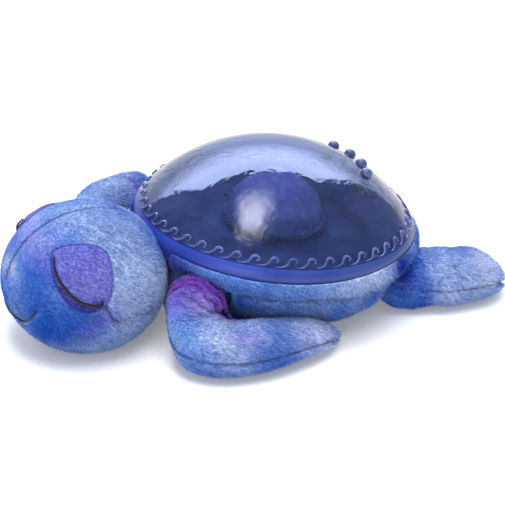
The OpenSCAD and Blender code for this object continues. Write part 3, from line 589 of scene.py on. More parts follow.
def flipper_rings(form, root_z):
    """Rings of points round a flipper's spine and two end points, and each ring's share of the spine."""
    steps, root_r, root_rise = form["steps"], form["root_r"], form["root_rise"]
    heading = spine_way(steps, 0.0)
    way = np.array([math.cos(heading), math.sin(heading)])
    angles = 2 * np.pi * np.arange(FLIPPER_AROUND) / FLIPPER_AROUND

    def oval(at, turn, z, w, h, inner=0.0):
        across = np.cos(angles) * (w + inner * (np.cos(angles) > 0))
        x = at[0] - math.sin(turn) * across
        y = at[1] + math.cos(turn) * across
        return np.column_stack([x, y, z + h * np.sin(angles)])

    rings, spots = [], []
    for a in ROOT_BENDS:
        size = root_r * math.sin(a)
        rings.append(oval(-root_r * math.cos(a) * way, heading, root_rise, size, size))
        spots.append(-math.cos(a) * 0.1)
    pace = np.linspace(0, 1, FLIPPER_RINGS)
    for t in np.sin(TIP_BEND * (0.5 * pace + 0.5 * pace ** 1.6)):
        rounding = math.sqrt(1 - t ** form["blunt"])
        neck = root_r + form["puff"] * smooth_step(t / NECK_END)
        wider, thicker = form["half_w"] - UNDER_PILE - neck, form["half_t"] - UNDER_PILE - neck
        w = (neck + wider * smooth_step((t - WIDE_FROM) / WIDE_OVER)) * rounding
        h = (neck + thicker * smooth_step((t - THICK_FROM) / THICK_OVER)) * rounding
        z = max(root_z * (1 - smooth_step(t / DOWN_BY)), h + FLOOR_GAP) + TIP_LIFT * t ** 3
        z += root_rise * (1 - smooth_step(t / RISE_GONE))
        elbow = form["elbow"] * bell(t, ELBOW_AT, ELBOW_SPAN)
        rings.append(oval(spine(steps, t), spine_way(steps, t), z - root_z, w, h, elbow))
        spots.append(t)
    ends = [[*(-root_r * way), root_rise], [*spine(steps, 1.0), FLOOR_GAP + 2 + TIP_LIFT - root_z]]
    return np.concatenate(rings + [ends]), np.array(spots)


def flipper(name, form, root, swing=0.0, lift=0.0, side=1):
    """Stuffed flipper of two panels sewn along the edge, gathered at its root."""
    points, spots = flipper_rings(form, root[2])
    count, around = len(spots), FLIPPER_AROUND
    made = mesh_object(name, points, grid_faces(count, around) + end_caps(count, around))
    outward(made)
    share = np.concatenate([np.repeat(spots, around), [-0.1, 1.0]])
    on_edge = np.append(np.tile(np.arange(around) % (around // 2) == 0, count), [True, True])
    held = np.where(on_edge & (share > EDGE_HELD_FROM), 1.0, 0.0)
    held = np.maximum(held, 1 - smooth_step((share - ROOT_HELD) / ROOT_EASE))
    held[-2:] = 1
    stuff(made, held, swell=3.0, spare=-0.02, cap=1.8)
    beyond_root = points[:-2].reshape(count, around, 3)[spots > EDGE_SEAM_FROM]
    edge = np.concatenate([beyond_root[:, 0], points[-1:], beyond_root[::-1, around // 2]])
    subdivide(made, 2)
    at = uneven(made, ((0.8, 26, 11 + len(name)), (0.28, 8, 12)))
    heading = spine_way(form["steps"], 0.0)
    ahead = at @ [math.cos(heading), math.sin(heading), 0.0]
    near = np.exp(-(lengths(at) / ROOT_NEAR) ** 6)
    band = bell(ahead, 11, 10) * near
    folds = np.cos(2 * math.pi * (ahead + FOLD_WANDER * lumps(at, FOLD_WANDER_SIZE, 3)) / FOLD_PITCH)
    folded = bell(ahead, 12, 11) * near
    valley = folded * smooth_step(-folds)
    set_points(made, at + normals_of(made) * (form["fold"] * folded * folds)[:, None])
    seam = crease(made, rounded_path(edge, 4), *FLIPPER_SEAM)
    at = points_of(made)
    at[:, 2] = np.maximum(at[:, 2], FLOOR_GAP - 0.1 - root[2])
    c, s = math.cos(math.radians(-swing)), math.sin(math.radians(-swing))
    cl, sl = math.cos(math.radians(-lift)), math.sin(math.radians(-lift))
    tilt = np.array([[cl, 0, sl], [0, 1, 0], [-sl, 0, cl]])
    spin = np.array([[c, -s, 0], [s, c, 0], [0, 0, 1]])
    at = at @ tilt.T @ spin.T + root
    set_points(made, at if side > 0 else mirrored(at))
    outward(made)
    return made, seam, band, valley


flippers = {
    "front_left": flipper("flipper_front_left", FRONT_FORM, FRONT_ROOT),
    "front_right": flipper("flipper_front_right", FAR_FORM, FRONT_ROOT, FAR_SWING, FAR_LIFT, -1),
    "rear_left": flipper("flipper_rear_left", REAR_FORM, REAR_ROOT),
    "rear_right": flipper("flipper_rear_right", REAR_FORM, REAR_ROOT, REAR_SWING, 0.0, -1),
}


# Body: one stuffed ring round the tub, with the seam that runs round it

LIP = [
    (103.0, -6.4), (105.4, -5.8), (106.5, -4.4), (107.2, -0.6),
    (108.4, 1.6), (109.0, 3.0), (109.7, 3.1), (110.1, 1.9),
]
UNDERSIDE = [(54.0, 0.4), (47.0, 0.4), (45.0, 1.2), (44.7, 6.0), (44.7, 14.0), (46.0, 19.0)]
LINING = [(60.0, 32.5), (79.0, 32.5), (82.5, 22.0), (85.0, 8.0), (92.0, 6.6), (98.0, 6.5), (101.0, 6.6)]
FLANK_R, FLANK_ROWS, FLANK_BULGE = 110.0, 7, 1.2
BELLY_ROWS, BELLY_BULGE, BELLY_FOOT = 14, 1.4, 0.35
SEAM_ROW = len(LIP) + FLANK_ROWS - 1
LIP_FRONT, LIP_REAR, LIP_TOP, LIP_LOW_AT = 8.0, 5.0, 3.4, 0.4
AROUND = 160
FRONT_FULLNESS, FULL_HALF_W, FULL_EASE = 42.0, 48, 25
HEAD_SIDE, HEAD_SIDE_EASE, HEAD_SIDE_ROOM = 30, 8, 6
OUTER_R, OUTER_EASE, LIP_EASE = 88, 6, 4

# Puckers of the flank before the rear flippers: height, count in a full turn, place and spread
GATHER_RISE, GATHER_COUNT, GATHER_AT, GATHER_Z, GATHER_SPAN, GATHER_TALL = 2.4, 105, 24, 48, 9, 7

# Dimples that leave room for the flippers' roots
DIMPLE_GAP, DIMPLE_REACH, DIMPLE_FROM_R, DIMPLE_EASE = 1.2, 86.5, 80, 7


def body_profile():
    """Radius, height, share of the rim's slope, shift and share of the lip's rise of each ring, all round."""
    out = []
    for index, (r, z) in enumerate(LIP):
        out.append((r, RIM_Z + z, 1.0, 0.0, smooth_step((index - 2) / 3)))
    for share in np.linspace(0.84, 0, FLANK_ROWS):
        swell = math.sin(math.pi / 2 * share)
        r = SEAM_R + (FLANK_R - SEAM_R) * swell + FLANK_BULGE * math.sin(math.pi * share)
        out.append((r, SEAM_Z + (RIM_Z + LIP[-1][1] - SEAM_Z) * share, 1.0, 0.0, share ** 2))
    for share in np.linspace(0.95, 0.02, BELLY_ROWS):
        swell = math.sin(math.pi / 2 * share)
        r = BELLY_FLAT_R + (SEAM_R - BELLY_FLAT_R) * swell + BELLY_BULGE * math.sin(math.pi * share)
        out.append((r, max(SEAM_Z * share, 0.5), share, BELLY_SHIFT * (1 - swell), 0.0))
    for r, z in UNDERSIDE:
        shift = BELLY_SHIFT * max(r - WELL_EDGE_R, 0) / (BELLY_FLAT_R - WELL_EDGE_R)
        out.append((r, z, 0.0, shift, 0.0))
    for r, drop in LINING:
        out.append((r, RIM_Z - drop, 1.0, 0.0, 0.0))
    return out


def lip_rise(y):
    """How much higher the lip stands toward the front and the rear than beside the front flippers."""
    off = y / FLANK_R + LIP_LOW_AT
    return np.clip(np.where(off < 0, LIP_FRONT, LIP_REAR) * off ** 2, 0, LIP_TOP)


profile = body_profile()
turns = 2 * np.pi * np.arange(AROUND) / AROUND
rings = []
for index, (r, z, slope, shift, lip) in enumerate(profile):
    x = r * np.cos(turns)
    y = shift + r * np.sin(turns)
    z = z + lip * lip_rise(y)
    under_head = smooth_step((FULL_HALF_W - np.abs(x)) / FULL_EASE) * (y < 0)
    past_well = min(max((r - WELL_EDGE_R) / (BELLY_FLAT_R - WELL_EDGE_R), 0), 1)
    y = y - FRONT_FULLNESS * (1 - slope) ** 2 * past_well * under_head
    beside_head = np.zeros(AROUND)
    if index < len(LIP):
        beside_head = smooth_step((np.abs(x) - HEAD_SIDE) / HEAD_SIDE_EASE)
        z = z + (RIM_Z + LIP[0][1] - z) * (1 - beside_head) * (y < 0)
    y = np.maximum(y, NECK_Y + 0.1 - HEAD_SIDE_ROOM * beside_head)
    rings.append(np.column_stack([x, y, z - RIM_SLOPE * slope * y]))
body = mesh_object("body_plush", np.concatenate(rings), grid_faces(len(profile), AROUND, wrap_rows=True))
outward(body)
row = np.repeat(np.arange(len(profile)), AROUND)
flank = (row > len(LIP)) & (row < SEAM_ROW)
belly = (row > SEAM_ROW + 1) & (row < SEAM_ROW + BELLY_ROWS - 2)
stuff(body, np.where(flank | belly, 0.0, 1.0), swell=2.0, spare=-0.02, cap=1.5)
seam_ring = points_of(body).reshape(len(profile), AROUND, 3)[SEAM_ROW]
subdivide(body, 2)
at = points_of(body)
row_height = at[:, 2] + RIM_SLOPE * at[:, 1]
outer = smooth_step((lengths(at[:, :2]) - OUTER_R) / OUTER_EASE)
outer *= smooth_step((RIM_Z - 1 - row_height) / LIP_EASE)
at = uneven(body, ((0.7, 24, 21), (0.25, 8, 22)), outer)
set_points(body, at)
around_angle = np.degrees(np.arctan2(at[:, 1], np.abs(at[:, 0])))
gather = GATHER_RISE * bell(around_angle, GATHER_AT, GATHER_SPAN) * outer
gather *= bell(row_height, GATHER_Z, GATHER_TALL) * np.cos(np.radians(around_angle) * GATHER_COUNT)
set_points(body, at + normals_of(body) * gather[:, None])
body_seam = crease(body, np.concatenate([seam_ring, seam_ring[:1]]), *BODY_SEAM)
at = points_of(body)
for root, form in ((FRONT_ROOT, FRONT_FORM), (REAR_ROOT, REAR_FORM)):
    size = form["root_r"] + form["puff"] + form["fold"] + DIMPLE_GAP
    for side in SIDES:
        off = at - (root * [side, 1, 1] + [0, 0, form["root_rise"]])
        reach = lengths(at[:, :2])
        way = np.column_stack([at[:, 0], at[:, 1], np.zeros(len(at))]) / reach[:, None]
        along = (off * way).sum(1)
        wide = (off * off).sum(1) - along ** 2
        inside = (wide < size ** 2) & (np.abs(along) < size * 2) & (reach > DIMPLE_FROM_R)
        depth = -np.sqrt(np.maximum(size ** 2 - wide, 0))
        depth = np.maximum(depth, DIMPLE_REACH - (reach - along))
        pushed = inside & (along > depth)
        below_lip = smooth_step((RIM_Z - 2 - at[:, 2] - RIM_SLOPE * at[:, 1]) / DIMPLE_EASE)
        at[pushed] += way[pushed] * ((depth - along) * below_lip)[pushed, None]
at[:, 2] = np.maximum(at[:, 2], BELLY_FOOT)
set_points(body, at)


# Shell: a lathe with a smooth outer face and a rippled inner one, cut for the buttons

lamp = Matrix.Translation((0, 0, RIM_Z)) @ Euler((math.radians(-PITCH), 0, 0)).to_matrix().to_4x4()
lamp_turn = np.array(lamp.to_3x3())


def in_lamp(points):
    return np.asarray(points) @ lamp_turn.T + [0, 0, RIM_Z]


def shell_section(inset):
    """Half section from the edge to the crown, inset from the outer face."""
    bend = SHOULDER_R - inset
    low = math.asin(-SHOULDER_Z / bend)
    high = math.atan2(SHOULDER_Z - CROWN_Z, SHOULDER_X)
    out = []
    for a in np.linspace(low, high, SHOULDER_ROWS):
        out.append((SHOULDER_X + bend * math.cos(a), SHOULDER_Z + bend * math.sin(a)))
    for a in np.linspace(high, math.pi / 2, CROWN_ROWS)[1:-1]:
        out.append(((CROWN_R - inset) * math.cos(a), CROWN_Z + (CROWN_R - inset) * math.sin(a)))
    return np.array(out)


def shell_height_reach(z):
    """Radius of the shell's outer face at a height over its edge."""
    high = SHOULDER_Z + SHOULDER_R * math.sin(math.atan2(SHOULDER_Z - CROWN_Z, SHOULDER_X))
    if z < high:
        return SHOULDER_X + math.sqrt(SHOULDER_R ** 2 - (z - SHOULDER_Z) ** 2)
    return math.sqrt(CROWN_R ** 2 - (z - CROWN_Z) ** 2)


def lathe(section, count):
    a = 2 * np.pi * np.arange(count) / count
    rings = [np.column_stack([r * np.cos(a), r * np.sin(a), np.full(count, z)]) for r, z in section]
    return np.concatenate(rings)


RIPPLE, RIPPLE_LOW, RIPPLE_HIGH, RIPPLE_FOOT, RIPPLE_CROWN = 0.32, -0.7, 0.5, 13, 38
outer_points = lathe(shell_section(0), SHELL_SIDES)
inner_points = lathe(shell_section(SHELL_WALL), SHELL_SIDES)
middle = np.array([0, 0, CROWN_Z])
away = inner_points - middle
away /= lengths(away)[:, None]
height = inner_points[:, 2]
calm = smooth_step((height - RIPPLE_FOOT) / 8) * (1 - 0.75 * smooth_step((height - RIPPLE_CROWN) / 14))
ripple = lumps(inner_points * [1, 1, 1.6], 15, 31, 2) + 0.5 * lumps(inner_points, 6, 32, 1)
inner_points += away * (np.clip(RIPPLE * ripple, RIPPLE_LOW, RIPPLE_HIGH) * calm)[:, None]
points = np.concatenate([outer_points, inner_points, [[0, 0, SHELL_H], [0, 0, SHELL_H - SHELL_WALL]]])
first_inner = len(outer_points)
top_row = first_inner - SHELL_SIDES
wall = grid_faces(first_inner // SHELL_SIDES, SHELL_SIDES)
faces = wall + [tuple(first_inner + k for k in reversed(f)) for f in wall]
for j in range(SHELL_SIDES):
    k = (j + 1) % SHELL_SIDES
    faces.append((j, first_inner + j, first_inner + k, k))
    faces.append((top_row + j, top_row + k, 2 * first_inner))
    faces.append((first_inner + top_row + k, first_inner + top_row + j, 2 * first_inner + 1))
shell = mesh_object("shell_clear", in_lamp(points), faces)
outward(shell)


def button_way(index):
    """Middle of a button's hole in the lamp's frame, and the buttons' common axis."""
    turn = math.radians(90 + (index - (BUTTON_COUNT - 1) / 2) * BUTTON_STEP)
    tilt = math.radians(BUTTON_TILT)
    flat = np.array([BUTTON_ARC_R * math.cos(turn), BUTTON_ARC_R * (math.sin(turn) - 1) * math.cos(tilt), 0])
    frame_turn = np.array(Euler((-tilt, 0, 0)).to_matrix())
    return frame_turn @ (flat + [0, 0, CROWN_R]) + [0, 0, CROWN_Z], frame_turn @ [0, 0, 1]


BUTTON_PLAY, CUTTER_HALF, CUTTER_SIDES = 0.3, 9, 40
cutters = []
for index in range(BUTTON_COUNT):
    place, axis = button_way(index)
    path = in_lamp([place - CUTTER_HALF * axis, place, place + CUTTER_HALF * axis])
    cutters.append(tube(f"cutter_{index}", path, BUTTON_R + BUTTON_PLAY, CUTTER_SIDES))
cutter = joined("button_cutter", cutters)
cut = shell.modifiers.new("holes", "BOOLEAN")
cut.object = cutter
cut.operation = "DIFFERENCE"
evaluated(shell)
bpy.data.objects.remove(cutter)


# Running wave in relief round the shell, over the frosted skirt

def on_shell(turn, z, rise):
    """Point on the shell's outer face, raised over it, in the lamp's frame."""
    r = shell_height_reach(z)
    p = np.array([r * math.cos(turn), r * math.sin(turn), z])
    way = p - middle
    return p + rise * way / np.linalg.norm(way)


WAVE = [
    (-0.36, -2.5), (-0.10, -2.4), (0.12, -1.5), (0.26, 0.1), (0.34, 1.7), (0.48, 2.6), (0.64, 2.3),
    (0.73, 1.2), (0.68, 0.2), (0.58, 0.1),
]
WAVE_RISE, WAVE_R, WAVE_THIN = 0.15, 1.2, 0.35
waves = []
wave_line = rounded_path([np.array([u, v, 0]) for u, v in WAVE], 4)
for index in range(WAVE_COUNT):
    path = [on_shell(2 * math.pi * (index + u) / WAVE_COUNT, WAVE_Z + v, WAVE_RISE) for u, v, _ in wave_line]
    width = WAVE_R * np.clip(np.sin(np.linspace(0.25, math.pi - 0.35, len(path))), WAVE_THIN, 1)
    waves.append(tube(f"wave_{index}", in_lamp(path), width, 6))
wave_border = joined("shell_wave_border", waves)


# Materials

def set_values(target, values):
    """Sets a node's sockets or properties by name; _ stands for a space in a socket's name."""
    for key, value in values.items():
        socket = key.replace("_", " ")
        if socket in target.inputs:
            target.inputs[socket].default_value = value
        else:
            setattr(target, key, value)


def new_material(name, **values):
    """Material with constant values on its shader's own sockets, its tree and that shader."""
    made = bpy.data.materials.new(name)
    made.use_nodes = True
    shader = made.node_tree.nodes["Principled BSDF"]
    set_values(shader, values)
    return made, made.node_tree, shader


def node(tree, kind, **values):
    made = tree.nodes.new(kind)
    set_values(made, values)
    return made


def link(a, b):
    """Joins two sockets of one tree."""
    b.id_data.links.new(a, b)


def noise_node(tree, scale, detail=3.0, roughness=0.5, distortion=0.0, along=None, stretch=1.0):
    """Noise in the part's frame, in features per metre, drawn out along a direction if one is given."""
    place = node(tree, "ShaderNodeTexCoord").outputs["Object"]
    if along is not None:
        turn = Vector(along).to_track_quat("Z", "Y").to_euler()
        mapping = node(tree, "ShaderNodeMapping", vector_type="TEXTURE", Rotation=turn, Scale=(1, 1, stretch))
        link(place, mapping.inputs["Vector"])
        place = mapping.outputs["Vector"]
    made = node(
        tree, "ShaderNodeTexNoise", Scale=scale, Detail=detail, Roughness=roughness, Distortion=distortion,
    )
    link(place, made.inputs["Vector"])
    return made.outputs["Fac"]


def ramp(source, stops):
    """Colours at places along a value; a plain number stands for a grey."""
    made = node(source.id_data, "ShaderNodeValToRGB")
    elements = made.color_ramp.elements
    while len(elements) < len(stops):
        elements.new(0.5)
    for element, (spot, colour) in zip(elements, stops):
        element.position = spot
        element.color = (*(colour if isinstance(colour, tuple) else (colour,) * 3), 1)
    link(source, made.inputs["Fac"])
    return made.outputs["Color"]


def mix(a, b, share, kind="MIX"):
    tree = next(v for v in (a, b, share) if isinstance(v, bpy.types.NodeSocket)).id_data
    made = node(tree, "ShaderNodeMix", data_type="RGBA", blend_type=kind)
    for socket, value in ((made.inputs[0], share), (made.inputs[6], a), (made.inputs[7], b)):
        if isinstance(value, (int, float)):
            socket.default_value = value
        elif isinstance(value, tuple):
            socket.default_value = (*value, 1)
        else:
            link(value, socket)
    return made.outputs[2]


def bump(height, strength, distance, under=None):
    made = node(height.id_data, "ShaderNodeBump", Strength=strength, Distance=distance)
    link(height, made.inputs["Height"])
    if under is not None:
        link(under, made.inputs["Normal"])
    return made.outputs["Normal"]


def between(value, low, high, ends=(0.0, 1.0), kind="LINEAR"):
    """Goes from one end to the other as a value goes from low to high."""
    made = node(
        value.id_data, "ShaderNodeMapRange", interpolation_type=kind, From_Min=low, From_Max=high,
        To_Min=ends[0], To_Max=ends[1],
    )
    link(value, made.inputs["Value"])
    return made.outputs["Result"]


def math_node(operation, a, b):
    made = node(a.id_data, "ShaderNodeMath", operation=operation)
    for socket, value in zip(made.inputs, (a, b)):
        if isinstance(value, (int, float)):
            socket.default_value = value
        else:
            link(value, socket)
    return made.outputs[0]


def stored_dye_and_shade(tree):
    """The colour stored on the cloth: its tie dyeing, with painted shade in its seams, creases and fold
    valleys.
    """
    return node(tree, "ShaderNodeAttribute", attribute_name="dye_and_shade").outputs["Color"]


def dress(pieces, material):
    """Gives pieces one material in place of what they had."""
    for piece in pieces:
        piece.data.materials.clear()
        piece.data.materials.append(material)


COMB = (0.4, 0.75, -0.45)
CLEAR_IOR = 1.49


def plush_material(name, tips, sheen):
    """Short crushed pile: ground in the stored colour, with painted sheen on paler fibre tips and painted
    shade in the dark gaps between them.
    """
    made, tree, shader = new_material(
        name, Roughness=0.92, Specular_IOR_Level=0.15, Sheen_Weight=sheen, Sheen_Roughness=0.42,
        Sheen_Tint=(0.66, 0.74, 1.0, 1),
    )
    dye_and_shade = stored_dye_and_shade(tree)
    nap = noise_node(tree, 620, 3.0, 0.6, 0.6, COMB, 2.4)
    tuft = noise_node(tree, 260, 3.0, 0.6, 1.2)
    wash = noise_node(tree, 42, 4.0, 0.6, 0.8)
    # Painted shade in the gaps between tufts and painted sheen on the fibre tips, laid out by the combed nap
    dark = mix(dye_and_shade, (0.36, 0.42, 0.72), 1.0, "MULTIPLY")
    light = mix(dye_and_shade, (0.62, 0.70, 0.97), tips)
    ground = mix(dark, light, ramp(nap, [(0.36, 0.0), (0.60, 1.0)]))
    tufted = mix(ground, ramp(tuft, [(0.30, 0.78), (0.62, 1.08)]), 0.75, "MULTIPLY")
    washed = mix(tufted, ramp(wash, [(0.35, 0.82), (0.65, 1.10)]), 0.8, "MULTIPLY")
    link(washed, shader.inputs["Base Color"])
    coarse = bump(tuft, 0.45, 0.0012)
    link(bump(nap, 0.7, 0.0007, coarse), shader.inputs["Normal"])
    return made


def surface(name, cloud, colours, texture=None, rough=None, relief=None, **values):
    """Material with clouded colours; its roughness and relief follow a texture, or else the cloud."""
    made, tree, shader = new_material(name, **values)
    drift = noise_node(tree, *cloud)
    fine = drift if texture is None else noise_node(tree, *texture)
    link(ramp(drift, colours), shader.inputs["Base Color"])
    if rough:
        link(ramp(fine, rough), shader.inputs["Roughness"])
    if relief:
        link(bump(fine, *relief), shader.inputs["Normal"])
    return made


def graded(name, cloud, near, far, axis, span, texture, relief, **values):
    """Part-clear plastic; its clouded colours go from near to far over a span in metres along an axis."""
    made, tree, shader = new_material(name, IOR=CLEAR_IOR, **values)
    drift = noise_node(tree, *cloud)
    split = node(tree, "ShaderNodeSeparateXYZ")
    link(node(tree, "ShaderNodeTexCoord").outputs["Object"], split.inputs[0])
    ends = [ramp(drift, [(0.35, low), (0.65, high)]) for low, high in (near, far)]
    link(mix(*ends, between(split.outputs[axis], *span)), shader.inputs["Base Color"])
    link(bump(noise_node(tree, *texture), *relief), shader.inputs["Normal"])
    return made


def tinted(colour, tint, share):
    """Colour moved toward a tint, by a share at each point."""
    share = np.clip(share, 0, 1)[:, None]
    return colour * (1 - share) + np.array(tint) * share


# Share of painted shade along a seam, then the size of the tie dyeing's clouds and how far its patches wander
SEAM_SHADE_SHARE, DYE_SIZE, WANDER, WANDER_SIZE = 0.8, 40, 5.0, 16


def paint_dye_and_shade(obj, patches, seam, seed, mirror=False, bands=()):
    """Stores the tie dyeing, the given bands, some of which are painted shade, and painted shade along the
    seam at each point of a piece.
    """
    at = points_of(obj)
    tree = tree_of(obj)
    deep, mid, pale = np.array(DEEP), np.array(MID), np.array(PALE)
    share = smooth_step(lumps(at, DYE_SIZE, seed, 3) * 1.2 + 0.5)
    colour = tinted(deep * 0.35 + mid * 0.65, mid * 0.5 + pale * 0.5, share)
    wander = np.column_stack([lumps(at, WANDER_SIZE, seed + 3 + k) for k in range(3)]) * WANDER
    for spot, radius, tint, strength in patches:
        place = photo_point(tree, *spot) if len(spot) == 2 else np.array(spot, float)
        if place is None:
            continue
        for centre in [place, mirrored(place)] if mirror else [place]:
            gap = lengths(at + wander - centre)
            colour = tinted(colour, tint, strength * bell(gap, 0, radius))
    for weight, tint in bands:
        colour = tinted(colour, tint, weight)
    # Painted shade along the seam: the colour darkens toward the seam's shade colour
    colour = tinted(colour, SEAM_SHADE, seam * SEAM_SHADE_SHARE)
    corner = np.empty(len(obj.data.loops), int)
    obj.data.loops.foreach_get("vertex_index", corner)
    store = obj.data.color_attributes.new("dye_and_shade", "BYTE_COLOR", "CORNER")
    store.data.foreach_set("color", np.column_stack([colour, np.ones(len(at))])[corner].ravel())


# Patches of tie dyeing: a pixel of the photograph or a place in mm, then radius, tint and strength
HEAD_DYE = [
    ((140, 275), 36, PALE, 0.95), ((120, 237), 28, PALE, 0.25), ((82, 217), 24, PALE, 0.15),
    ((95, 222), 26, MID, 0.35), ((37, 240), 15, ROSE, 0.8), ((25, 278), 25, DEEP, 0.9),
    ((50, 328), 24, DEEP, 0.9), ((75, 328), 20, DEEP, 0.8), ((40, 300), 17, DEEP, 0.6),
    ((6, 262), 9, PALE, 0.6), ((84, 346), 13, PALE, 0.7), ((60, 346), 9, PALE, 0.5),
    ((135, 318), 15, PALE, 0.7), ((107, 316), 9, VIOLET, 0.7), ((48, 225), 14, MID, 0.5),
    ((152, 240), 14, MID, 0.7), ((120, 300), 14, PALE, 0.6), ((46, 264), 10, VIOLET, 0.6),
    ((88, 332), 8, VIOLET, 0.5),
]
FRONT_DYE = [
    ((175, 305), 16, VIOLET, 0.75), ((197, 306), 9, ROSE, 0.95), ((225, 343), 24, PALE, 0.95),
    ((182, 330), 15, MID, 0.8), ((215, 322), 14, PALE, 0.5), ((282, 325), 13, MID, 0.95),
    ((268, 319), 8, DEEP, 0.5), ((318, 329), 22, SNOW, 1.0), ((248, 338), 11, ROSE, 0.5),
    ((205, 360), 10, DEEP, 0.5), ((260, 362), 9, MID, 0.5),
]
FAR_DYE = [
    ((110, 180), 22, PALE, 0.6), ((95, 176), 12, VIOLET, 0.4), ((134, 186), 9, VIOLET, 0.9),
    ((75, 192), 14, MID, 0.6),
]
REAR_DYE = [
    ((408, 274), 19, NAVY, 1.0), ((425, 288), 12, MID, 0.5), ((445, 266), 15, PALE, 0.5),
    ((487, 266), 19, SNOW, 0.9), ((450, 296), 13, PALE, 0.75), ((472, 284), 13, PALE, 0.6),
]
FAR_REAR_DYE = [
    ((-75, 90, 40), 24, DEEP, 0.8), ((-112, 140, 30), 20, PALE, 0.8), ((-95, 115, 40), 16, MID, 0.5),
]
BODY_DYE = [
    ((178, 264), 34, NAVY, 0.85), ((215, 274), 18, MID, 0.7), ((265, 288), 26, MID, 0.6),
    ((310, 288), 26, MID, 0.45), ((245, 305), 15, DEEP, 0.8), ((290, 309), 20, MID, 0.6),
    ((355, 288), 18, PALE, 0.85), ((378, 276), 12, PALE, 0.97), ((340, 305), 14, MID, 0.6),
    ((402, 262), 13, NAVY, 1.0), ((408, 246), 13, NAVY, 1.0), ((394, 282), 10, NAVY, 0.8),
]
# Width of the painted shade round each eyelid, gain of the painted shade along the body's seam, and the offset
# of the lid's blush
LID_SHADE_RING, BODY_SEAM_SHADE_GAIN, BLUSH_OFF = 2.4, 1.25, [2, 8, -4]
plush = plush_material("plush_pile", 0.03, 0.12)
lid_gap = np.full(len(head.data.vertices), np.inf)
for piece in eyelids.values():
    lid_surface = tree_of(piece)
    lid_gap = np.minimum(lid_gap, [lid_surface.find_nearest(v.co)[3] / MM for v in head.data.vertices])
# Painted shade in a ring round each eyelid, where the head meets the lid
paint_dye_and_shade(head, HEAD_DYE, head_seam, 41, mirror=True, bands=[(0.9 * bell(lid_gap, 0, LID_SHADE_RING), NAVY)])
# Painted shade along the body's seam, stronger than on the other pieces
paint_dye_and_shade(body, BODY_DYE, np.clip(BODY_SEAM_SHADE_GAIN * body_seam, 0, 1), 42, mirror=True)
flipper_dye = dict(front_left=FRONT_DYE, front_right=FAR_DYE, rear_left=REAR_DYE, rear_right=FAR_REAR_DYE)
for key, (piece, seam, band, valley) in flippers.items():
    # Painted shade along each flipper's seam and, on the front flippers, in the fold valleys of the magenta
    # root
    bands = [(0.5 * band, DEEP)]
    if key.startswith("front"):
        bands = [(0.95 * band ** 0.7, MAGENTA), (0.9 * valley, FOLD_SHADE)]
    paint_dye_and_shade(piece, flipper_dye[key], seam, 43 + len(key), bands=bands)
dress([head, body] + [made[0] for made in flippers.values()], plush)

lid = plush_material("eyelid_pile", 0.06, 0.08)
for side, piece in eyelids.items():
    at = points_of(piece) * [side, 1, 1]
    # Painted shade along the lash line, passed in as the seam
    over_lash = bell(path_distance(at, lash_path)[0], 0, 1.6)
    blush = bell(lengths(at - (lid_middle + BLUSH_OFF)), 0, 15)
    below = np.exp(-(path_distance(at, lash_path + LASH_SHADE)[0] / 5) ** 4)
    bands = [(np.full(len(at), 0.95), LID), (0.8 * blush, LID_BLUSH), (0.85 * below, LID_SHADE)]
    paint_dye_and_shade(piece, [], over_lash, 61, bands=bands)
dress(eyelids.values(), lid)

thread = surface(
    "black_thread", (900, 2.0, 0.5), [(0.35, 0.004), (0.7, 0.02)], relief=(0.5, 0.0003), Roughness=0.55,
)
dress([*lashes.values(), mouth], thread)


def clear_material(name, tint, roughness):
    """Tinted clear plastic that lets the light of lamps through to what is under it."""
    made, tree, shader = new_material(name, IOR=CLEAR_IOR, Transmission_Weight=1.0)
    cloud = noise_node(tree, 30, 3.0, 0.5, 0.5)
    shades = [tuple(min(1, k * c) for c in tint) for k in (0.92, 1.06)]
    link(ramp(cloud, [(0.3, shades[0]), (0.7, shades[1])]), shader.inputs["Base Color"])
    scratch = noise_node(tree, 260, 2.0, 0.5)
    rough = ramp(scratch, [(0.3, roughness), (0.8, roughness + 0.03)])
    link(rough, shader.inputs["Roughness"])
    water = noise_node(tree, 75, 2.0, 0.55, 0.6)
    link(bump(water, 0.35, 0.0009), shader.inputs["Normal"])
    through = node(tree, "ShaderNodeBsdfTransparent")
    one_face = [tuple(c ** 0.5 for c in shade) for shade in shades]
    link(ramp(cloud, [(0.3, one_face[0]), (0.7, one_face[1])]), through.inputs["Color"])
    both = node(tree, "ShaderNodeMixShader")
    link(node(tree, "ShaderNodeLightPath").outputs["Is Shadow Ray"], both.inputs[0])
    link(shader.outputs[0], both.inputs[1])
    link(through.outputs[0], both.inputs[2])
    link(both.outputs[0], tree.nodes["Material Output"].inputs["Surface"])
    return made


shell_clear = clear_material("shell_clear_tint", (0.32, 0.37, 0.60), 0.005)
dress([shell], shell_clear)
frosted = graded(
    "shell_frosted", (22, 3.0, 0.5, 0.6), [(0.03, 0.065, 0.46), (0.055, 0.10, 0.58)],
    [(0.05, 0.10, 0.34), (0.10, 0.15, 0.42)], "Y", (-0.08, 0.06), (1400, 2.0, 0.5), (0.15, 0.0002),
    Roughness=0.32, Transmission_Weight=0.35,
)
shell.data.materials.append(frosted)
lamp_back = lamp.inverted()
for face in shell.data.polygons:
    face.material_index = int((lamp_back @ (face.center / MM)).z < SKIRT_Z)
strokes = surface(
    "shell_wave_strokes", (60, 2.0, 0.5), [(0.35, (0.08, 0.11, 0.38)), (0.65, (0.18, 0.23, 0.56))],
    Roughness=0.12, IOR=CLEAR_IOR, Transmission_Weight=0.4,
)
dress([wave_border], strokes)


